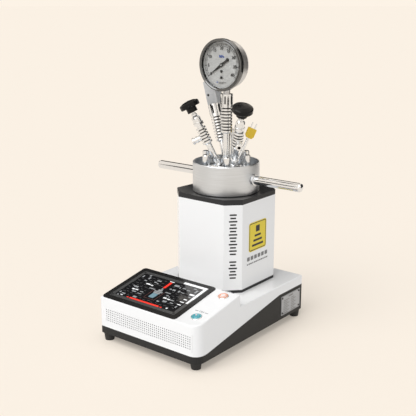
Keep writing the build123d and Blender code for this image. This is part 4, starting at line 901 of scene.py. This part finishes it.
class REACTOR_OT_hardware(bpy.types.Operator):
    """Add the gland nuts, the bonnets' foot rings, and dark pieces that paint the shade in the outlets' bores, the
    sleeves' slots and the sensor's hole
    """

    bl_idname = "reactor.hardware"
    bl_label = "Valve hardware"

    def execute(self, context):
        for side in ("left", "right"):
            axis = valve_axis(side)
            foot, top = (corner.z for corner in extent(side + "_valve_bonnet", axis))
            gland = settle(turned(side + "_gland_nut", mm(GLAND), 36), axis @ at(0, 0, top + LIFT))
            finish_piece(gland, "head", "steel_machined")
            ring = settle(turned(side + "_foot_ring", mm(FOOT_RING)),
                          axis @ at(0, 0, foot + RING_RISE))
            finish_piece(ring, "head", "steel_machined")
            self.bore(side)
        turns = {"gauge_sleeve": Matrix.Identity(4), "sensor_sleeve": sensor_turn()}
        for sleeve, turn in turns.items():
            # Dark lining in each sleeve: painted shade in its slots.
            slot_shade_lining = settle(turned(sleeve + "_lining", mm(SLOT_SHADE_LINING)), sleeve_axis(sleeve, turn))
            finish_piece(slot_shade_lining, "head", "hollow_black")
        self.sensor_hole()
        return {"FINISHED"}

    def sensor_hole(self):
        """Dark piece in the front of the sensor's block: painted shade for its hole."""
        turn = sensor_turn()
        low, high = extent("sensor_housing", turn)
        mouth = Vector((low.x + HOLE_SIDE, low.y, low.z + HOLE_RISE * (high.z - low.z)))
        place = turn @ Matrix.Translation(mouth) @ Matrix.Rotation(math.radians(-90), 4, "X")
        core = settle(turned("sensor_screw", mm(SENSOR_HOLE_SHADE), 24), place)
        finish_piece(core, "head", "hollow_black")

    def bore(self, side):
        """Dark liner down an outlet's socket: painted shade in its bore."""
        mount = next(m for m in frame["record"]["mounts"] if m["name"] == side + "_gas_outlet")
        inward = -Vector(mount["axis"]).normalized()
        across = inward.orthogonal().normalized()
        end = Vector(mount["pos_m"]) - inward * SOCKET_REACH
        place = axes(end + inward * SOCKET_INSET, across, inward.cross(across))
        liner = settle(turned(side + "_outlet_bore", mm(BORE_SHADE_LINER), 36), place)
        finish_piece(liner, "head", "hollow_black")


# ================================================================ touch screen
GLASS_INSET = 12.2 * MM              # glass corner from the panel's front and left edges
SCREEN_BORDER = 7.2 * MM             # grey border round the page
SCREEN_EDGE = 0.6 * MM               # glass left free outside it, both sides together
BLOCK_CORNER = 0.12                  # corner radius of a block, as a share of its short side
# Blocks of the page as (x, y, width, height) in millimetres from the panel's front left edge.
PAGE_RED = (
    (55.0, 19.4, 70.0, 4.4), (48.0, 20.4, 4.6, 2.4), (127.6, 20.4, 4.6, 2.4),
    (87.4, 76.6, 5.4, 21.8),
)
PAGE_RIM = ((113.0, 105.4, 54.0, 6.0), (161.2, 66.0, 5.8, 39.6), (161.8, 52.0, 4.4, 13.6))
PAGE_BRIGHT = (
    (48.0, 73.6, 10.0, 3.4), (60.0, 72.8, 5.4, 2.6), (36.4, 47.2, 6.0, 3.6),
    (44.0, 48.0, 6.6, 3.2), (112.0, 48.2, 7.4, 3.4), (121.4, 47.6, 6.6, 2.8),
    (148.4, 78.0, 10.6, 4.6), (150.0, 60.6, 7.2, 2.6), (148.8, 51.6, 8.6, 2.4),
    (150.2, 42.2, 8.0, 2.2), (31.0, 21.8, 5.4, 2.0), (140.4, 22.2, 3.4, 3.4),
    (84.2, 100.4, 11.0, 1.8),
)
PAGE_MIDDLE = (
    (34.0, 100.0, 3.6, 3.6), (38.6, 90.0, 3.4, 6.4), (60.2, 91.4, 9.4, 3.2),
    (59.0, 84.4, 5.0, 3.4), (66.0, 83.0, 4.2, 2.2), (36.2, 82.0, 6.0, 2.4),
    (30.0, 58.0, 3.2, 2.4), (34.4, 55.6, 9.0, 4.4), (42.0, 41.0, 9.0, 3.0),
    (56.6, 40.0, 10.0, 1.8), (57.4, 46.6, 7.6, 2.0), (30.0, 26.6, 7.8, 3.2),
    (57.0, 26.0, 8.8, 4.4), (102.0, 91.0, 11.0, 5.4), (116.0, 88.6, 2.8, 4.0),
    (122.4, 90.8, 8.0, 2.6), (134.0, 88.6, 7.8, 2.4), (102.0, 78.0, 5.0, 2.6),
    (109.4, 77.0, 6.6, 4.4), (122.4, 76.4, 3.8, 6.0), (129.0, 77.4, 8.6, 2.0),
    (112.0, 57.0, 4.4, 3.0), (118.4, 55.0, 3.6, 2.0), (128.8, 47.8, 8.8, 2.4),
    (118.4, 38.0, 9.0, 4.6), (134.6, 40.2, 7.0, 2.4), (108.4, 34.0, 5.6, 3.0),
    (143.0, 98.0, 6.4, 3.0), (152.0, 88.0, 4.0, 9.4), (152.4, 70.6, 5.2, 2.2),
    (152.6, 32.2, 3.0, 5.4), (22.6, 91.0, 3.0, 6.4), (22.6, 28.2, 3.0, 4.4),
    (24.6, 19.4, 3.6, 3.2), (65.0, 64.0, 13.4, 2.6), (103.0, 65.0, 12.6, 2.2),
)
PAGE_ICON = ((83.8, 39.6, 12.2, 14.4),)
PAGE_LID = (
    (82.4, 54.6, 14.8, 4.4), (80.2, 59.8, 19.4, 3.4), (85.2, 64.0, 9.6, 5.0),
    (88.4, 70.0, 3.4, 4.8),
)
PAGE_OUTLINES = ((76.6, 35.6, 1.3, 28.0), (101.8, 35.6, 1.3, 28.0), (76.6, 34.0, 26.5, 1.2))
FINE_ROWS, FINE_COLUMNS = 9, 14
FINE_START, FINE_PITCH, FINE_STAGGER = (23.0, 27.0), (9.7, 8.6), (1.4, 1.8)
FINE_SHORT, FINE_HIGH, FINE_TALL = 4.2, 0.9, 2.0        # shortest, its height, its room
VESSEL_FIELD = (74.0, 32.0, 31.0, 40.0)


class REACTOR_OT_screen(bpy.types.Operator):
    """Lay out the page on the touch screen: border, bars, readouts and the vessel's outline"""

    bl_idname = "reactor.screen"
    bl_label = "Touch screen"

    def execute(self, context):
        face, width, depth = screen_face()
        face = face @ at(0, 0, LIFT)
        border = plate("screen_border", width - SCREEN_EDGE, depth - SCREEN_EDGE,
                       corner=1.6 * MM, border=SCREEN_BORDER)
        settle(border, face @ at(width / 2, depth / 2))
        finish_piece(border, "base", "screen_grey")
        page = face @ at(-GLASS_INSET, -GLASS_INSET)
        over = page @ at(0, 0, INK + LIFT)
        for name, place, finish, blocks in (
                ("page_red_bars", page, "light_red", PAGE_RED),
                ("page_white_rim", over, "light_white", PAGE_RIM),
                ("page_readouts", page, "light_white", PAGE_BRIGHT),
                ("page_values", page, "light_grey", PAGE_MIDDLE),
                ("page_vessel", page, "light_blue", PAGE_ICON),
                ("page_vessel_lid", page, "light_grey", PAGE_LID),
                ("page_vessel_outline", page, "light_dull_red", PAGE_OUTLINES),
                ("page_fine_lines", page, "light_dim", self.fine_lines())):
            middles = [(x + w / 2, y + h / 2, w, h, min(w, h) * BLOCK_CORNER)
                       for x, y, w, h in blocks]
            printed(name, place, middles, finish)
        return {"FINISHED"}

    def fine_lines(self):
        """Short dim lines in the gaps between the page's blocks."""
        taken = [*PAGE_RED, *PAGE_BRIGHT, *PAGE_MIDDLE, *PAGE_ICON, VESSEL_FIELD]
        lines = []
        for row in range(FINE_ROWS):
            for column in range(FINE_COLUMNS):
                x = FINE_START[0] + FINE_PITCH[0] * column + row % 3 * FINE_STAGGER[0]
                y = FINE_START[1] + FINE_PITCH[1] * row + column % 2 * FINE_STAGGER[1]
                w = FINE_SHORT + (row * 3 + column * 5) % 4
                if not any(x < bx + bw + 1 and bx < x + w + 1
                           and y < by + bh + 1 and by < y + FINE_TALL
                           for bx, by, bw, bh in taken):
                    lines.append((x, y, w, FINE_HIGH))
        return lines


# ================================================================ buttons
BUTTON_RIM = ((9.05, 0), (10.0, 0), (10.0, 0.5), (9.7, 0.9), (9.3, 1.1), (9.05, 1.1), (9.05, 0))
STOP_GROOVE = ((4.6, 0), (5.5, 0), (5.5, 0.2), (5.3, 0.35), (4.8, 0.35), (4.6, 0.2), (4.6, 0))
# Glowing pink dot up and left on the start cap: a painted highlight.
START_HIGHLIGHT = ((0, 0), (1.7, 0), (1.7, 0.2), (1.2, 0.4), (0, 0.45))
START_HIGHLIGHT_SPOT = (-1.4 * MM, 1.6 * MM)
LABEL_SPOT = (-1.7 * MM, 16.6 * MM, 30 * MM)    # from the cap's middle; the last well above
LABEL_RULES = ((-10.5, 0, 7.0, 1.5, 0.4), (10.5, 0, 7.0, 1.5, 0.4))


class REACTOR_OT_buttons(bpy.types.Operator):
    """Dress the two push buttons and print their marks on the panel"""

    bl_idname = "reactor.buttons"
    bl_label = "Push buttons"

    def execute(self, context):
        light = settle(turned("stop_light_ring", mm(STOP_GROOVE)),
                       button_face("stop") @ at(0, 0, LIFT))
        finish_piece(light, "stop_button", "light_orange")
        # Painted highlight on the start cap.
        painted_highlight = settle(turned("start_light", mm(START_HIGHLIGHT), 32),
                        button_face("start") @ at(*START_HIGHLIGHT_SPOT, LIFT))
        finish_piece(painted_highlight, "start_button", "light_pink")
        for which, word in (("start", "ON"), ("stop", "OFF")):
            face, spot = button_face(which), self.label_spot(which)
            height = (face.inverted() @ spot.translation).z
            rim = settle(turned(which + "_button_rim", mm(BUTTON_RIM), 72),
                         face @ at(0, 0, height))
            finish_piece(rim, "base", "steel_polished")
            text = settle(lettering(which + "_label", word, 4.4 * MM, bold=0.1 * MM), spot)
            printed(which + "_marks", spot, LABEL_RULES, "ink_grey", extra=[text])
        return {"FINISHED"}

    def label_spot(self, which):
        """Frame on the panel behind a button, found by a line straight down onto the cover."""
        place = button_face(which) @ at(*LABEL_SPOT)
        out = place.col[2].to_3d()
        hit, spot, _, _ = frame["nodes"]["console_cover"].ray_cast(place.translation, -out)
        if not hit:
            raise RuntimeError(f"no panel behind the {which} button")
        place.translation = spot + out * LIFT
        return place


# ================================================================ furnace marks
PANEL_Y = -4.0 * MM         # side panel's middle from the face's middle
PANEL_THICK = 0.3 * MM
PANEL_INSET = 3.2 * MM      # from the panel's size to its dark line's
PANEL_BARS = ((0, -17.0, 36.0, 4.0, 1.0), (0, -8.0, 28.0, 4.0, 1.0), (0, 1.0, 20.0, 4.0, 1.0),
              (0, 14.0, 12.0, 12.0, 1.0))
ROWS_BELOW = 12.4 * MM      # row marks under the panel's lower edge
ROW_MARKS = [((i - 2.5) * 11.4, 0, 8.4, 7.6, 1.4) for i in range(6)]
ROW_MARKS += [((i - 5.5) * 5.7, -10.2, 3.6 + i % 3 * 0.8, 2.6, 0.6) for i in range(12)]
LEVEL_RUNS = ((24.0, 6, 6.2), (70.0, 13, 6.2))      # height over the deck, bars and pitch
LEVEL_WIDTHS = (14.0, 11.0, 15.5, 10.5, 13.0, 15.5, 11.5)


class REACTOR_OT_furnace_marks(bpy.types.Operator):
    """Set the yellow panel, its rows of marks and the chamfer's dark bars on the furnace"""

    bl_idname = "reactor.furnace_marks"
    bl_label = "Furnace marks"

    def execute(self, context):
        marks = context.scene.reactor_marks
        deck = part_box("furnace_shell")[0].z
        face = furnace_face() @ at(PANEL_Y, marks.panel_z - deck, LIFT)
        w, h = marks.panel_w, marks.panel_h
        field = settle(plate("side_panel", w, h, PANEL_THICK, corner=5 * MM), face)
        finish_piece(field, "base", "panel_yellow")
        over = face @ at(0, 0, PANEL_THICK + LIFT)
        line = plate("panel_line", w - PANEL_INSET, h - PANEL_INSET,
                     corner=3.8 * MM, border=1.3 * MM)
        printed("side_panel_bars", over, PANEL_BARS, "ink_black",
                extra=[settle(line, over)])
        below = face @ at(0, -h / 2 - ROWS_BELOW)
        printed("side_row_marks", below, ROW_MARKS, "ink_soft")
        bars = [(0, low + pitch * i, LEVEL_WIDTHS[(i + count) % len(LEVEL_WIDTHS)], 2.9, 0.8)
                for low, count, pitch in LEVEL_RUNS for i in range(count)]
        printed("level_bars", furnace_chamfer() @ at(0, 0, LIFT), bars,
                "ink_black")
        return {"FINISHED"}


RULE_ROWS, RULE_COLUMNS = 8, 2
PLATE_INSET = 2.2 * MM      # from the plate's size to its line's


class REACTOR_OT_name_plate(bpy.types.Operator):
    """Print plain rules on the name plate"""

    bl_idname = "reactor.name_plate"
    bl_label = "Name plate"

    def execute(self, context):
        face, w, h = plate_face()
        face = face @ at(0, 0, LIFT)
        rules = []
        for row in range(RULE_ROWS):
            for column in range(RULE_COLUMNS):
                long = 20.0 - (row * 2 + column * 3) % 4 * 3.0
                x = 8 - w / 2 / MM + column * 26 + long / 2
                rules.append((x, h / 2 / MM - 10.5 - 3.6 * row, long, 1.3, 0.0))
        rules.append((0, h / 2 / MM - 5, 16.0, 2.4, 0.5))
        line = plate("plate_border", w - PLATE_INSET, h - PLATE_INSET,
                     corner=1.2 * MM, border=0.5 * MM)
        printed("plate_rules", face, rules, "ink_soft", extra=[settle(line, face)])
        return {"FINISHED"}


# ================================================================ stage
FLOOR_R = 60.0
FLOOR_GREY, FLOOR_SHARE, FLOOR_GLOW = 0.85, 0.88, 0.28     # unseen grey; seen share; seen glow
CARD_GREY = 0.03
LAMPS = (
    # name, turn of the sun, its spread
    ("key", (math.radians(32), 0, math.radians(-8)), math.radians(50)),
    ("fill", (math.radians(84), 0, math.radians(-6)), math.radians(60)),
)


class REACTOR_OT_stage(bpy.types.Operator):
    """Make the pale floor, the soft light and the camera"""

    bl_idname = "reactor.stage"
    bl_label = "Stage"

    def execute(self, context):
        studio = context.scene.reactor_studio
        self.floor(studio.ground)
        self.cards()
        self.world(context.scene, studio)
        self.lamps(studio)
        self.camera(context.scene, studio)
        context.scene.view_settings.view_transform = "Standard"
        return {"FINISHED"}

    def seen_directly(self, tree):
        """Mask of the rays that meet the background: camera, glossy and transmission rays."""
        path = add_node(tree, "LightPath", {}).outputs
        first = maths(tree, "MAXIMUM", path["Is Camera Ray"], path["Is Glossy Ray"])
        return maths(tree, "MAXIMUM", first, path["Is Transmission Ray"])

    def matt(self, name):
        """New material with a fully matt shader, and that shader."""
        paint = bpy.data.materials.new(name)
        paint.use_nodes = True
        shader = paint.node_tree.nodes["Principled BSDF"]
        shader.inputs["Roughness"].default_value = 1.0
        shader.inputs["Specular IOR Level"].default_value = 0.0
        return paint, shader

    def floor(self, ground):
        """Wide floor whose colour holds at any distance and which still takes shadows."""
        clear_selection()
        bpy.ops.mesh.primitive_circle_add(vertices=96, radius=FLOOR_R, fill_type="NGON")
        floor = bpy.context.object
        floor.name = floor.data.name = "floor"
        paint, shader = self.matt("floor_paint")
        tree = paint.node_tree
        seen = self.seen_directly(tree)
        tint = add_node(
            tree, "Mix",
            {"A": (FLOOR_GREY, FLOOR_GREY, FLOOR_GREY, 1.0),
             "B": (*(FLOOR_SHARE * v for v in ground), 1.0), "Factor": seen},
            data_type="RGBA")
        tree.links.new(tint.outputs["Result"], shader.inputs["Base Color"])
        light = add_node(tree, "Emission", {"Color": (*ground, 1.0)})
        mix = add_node(
            tree, "MixShader",
            {"Fac": maths(tree, "MULTIPLY", seen, FLOOR_GLOW), 1: shader.outputs[0],
             2: light.outputs[0]})
        tree.links.new(mix.outputs[0], tree.nodes["Material Output"].inputs["Surface"])
        floor.data.materials.append(paint)

    def cards(self):
        """Dark cards round the object, out of view, that bright metal shows as dark bands."""
        paint, shader = self.matt("card_black")
        shader.inputs["Base Color"].default_value = (CARD_GREY, CARD_GREY, CARD_GREY, 1.0)
        for name, bearing, away, wide, low, high in CARDS:
            clear_selection()
            bpy.ops.mesh.primitive_plane_add(size=1.0)
            card = bpy.context.object
            card.name = card.data.name = name
            card.scale = (wide, high - low, 1.0)
            card.rotation_euler = (math.radians(90), 0, bearing - math.radians(90))
            card.location = (away * math.cos(bearing), away * math.sin(bearing), (low + high) / 2)
            bpy.ops.object.transform_apply(location=True, rotation=True, scale=True)
            card.data.materials.append(paint)
            card.visible_camera = card.visible_diffuse = card.visible_shadow = False
            card.visible_transmission = False

    def world(self, scene, studio):
        """Even white light, with the ground's colour where it is seen."""
        world = bpy.data.worlds.new("studio")
        world.use_nodes = True
        tree = world.node_tree
        light = tree.nodes["Background"]
        light.inputs["Color"].default_value = (1.0, 1.0, 1.0, 1.0)
        light.inputs["Strength"].default_value = studio.sky
        seen = add_node(tree, "Background", {"Color": (*studio.ground, 1.0)})
        mix = add_node(
            tree, "MixShader",
            {"Fac": self.seen_directly(tree), 1: light.outputs[0], 2: seen.outputs[0]})
        tree.links.new(mix.outputs[0], tree.nodes["World Output"].inputs["Surface"])
        scene.world = world

    def lamps(self, studio):
        """A broad soft key from above the front, and a low fill from the front."""
        clear_selection()
        for name, turn, spread in LAMPS:
            bpy.ops.object.light_add(type="SUN", rotation=turn)
            lamp = bpy.context.object
            lamp.name = name
            lamp.data.energy = getattr(studio, name)
            lamp.data.angle = spread

    def camera(self, scene, studio):
        """Camera on the operator's right, looking slightly down."""
        clear_selection()
        place = Vector((studio.camera_x, studio.camera_y, studio.camera_z))
        bpy.ops.object.camera_add(location=place)
        camera = bpy.context.object
        camera.rotation_euler = CAMERA_LOOK.to_track_quat("-Z", "Y").to_euler()
        camera.data.sensor_width = 36.0
        camera.data.lens = studio.lens
        camera.data.clip_end = 200.0
        scene.camera = camera


# ================================================================ add-on
OPERATORS = (
    REACTOR_OT_stage, REACTOR_OT_finishes, REACTOR_OT_gauge, REACTOR_OT_dial,
    REACTOR_OT_hardware, REACTOR_OT_screen, REACTOR_OT_buttons, REACTOR_OT_furnace_marks,
    REACTOR_OT_name_plate,
)


class REACTOR_PT_panel(bpy.types.Panel):
    """Sizes, colours and steps of the reactor's looks"""

    bl_idname = "REACTOR_PT_panel"
    bl_label = "Hydrothermal reactor"
    bl_space_type = "VIEW_3D"
    bl_region_type = "UI"
    bl_category = "Reactor"

    def draw(self, context):
        for group in ("reactor_colours", "reactor_marks", "reactor_studio"):
            box = self.layout.box()
            values = getattr(context.scene, group)
            for name in values.__annotations__:
                box.prop(values, name)
        for operator in OPERATORS:
            self.layout.operator(operator.bl_idname)


CLASSES = (ReactorColours, ReactorMarks, ReactorStudio, *OPERATORS, REACTOR_PT_panel)


def register():
    """Register the classes and hang the settings on the scene."""
    for cls in CLASSES:
        bpy.utils.register_class(cls)
    bpy.types.Scene.reactor_colours = PointerProperty(type=ReactorColours)
    bpy.types.Scene.reactor_marks = PointerProperty(type=ReactorMarks)
    bpy.types.Scene.reactor_studio = PointerProperty(type=ReactorStudio)


def unregister():
    """Take the settings and the classes away again."""
    del bpy.types.Scene.reactor_studio
    del bpy.types.Scene.reactor_marks
    del bpy.types.Scene.reactor_colours
    for cls in reversed(CLASSES):
        bpy.utils.unregister_class(cls)


def main():
    """Build the looks, step by step."""
    register()
    for operator in OPERATORS:
        category, name = operator.bl_idname.split(".")
        getattr(getattr(bpy.ops, category), name)()


if __name__ == "__main__":
    main()
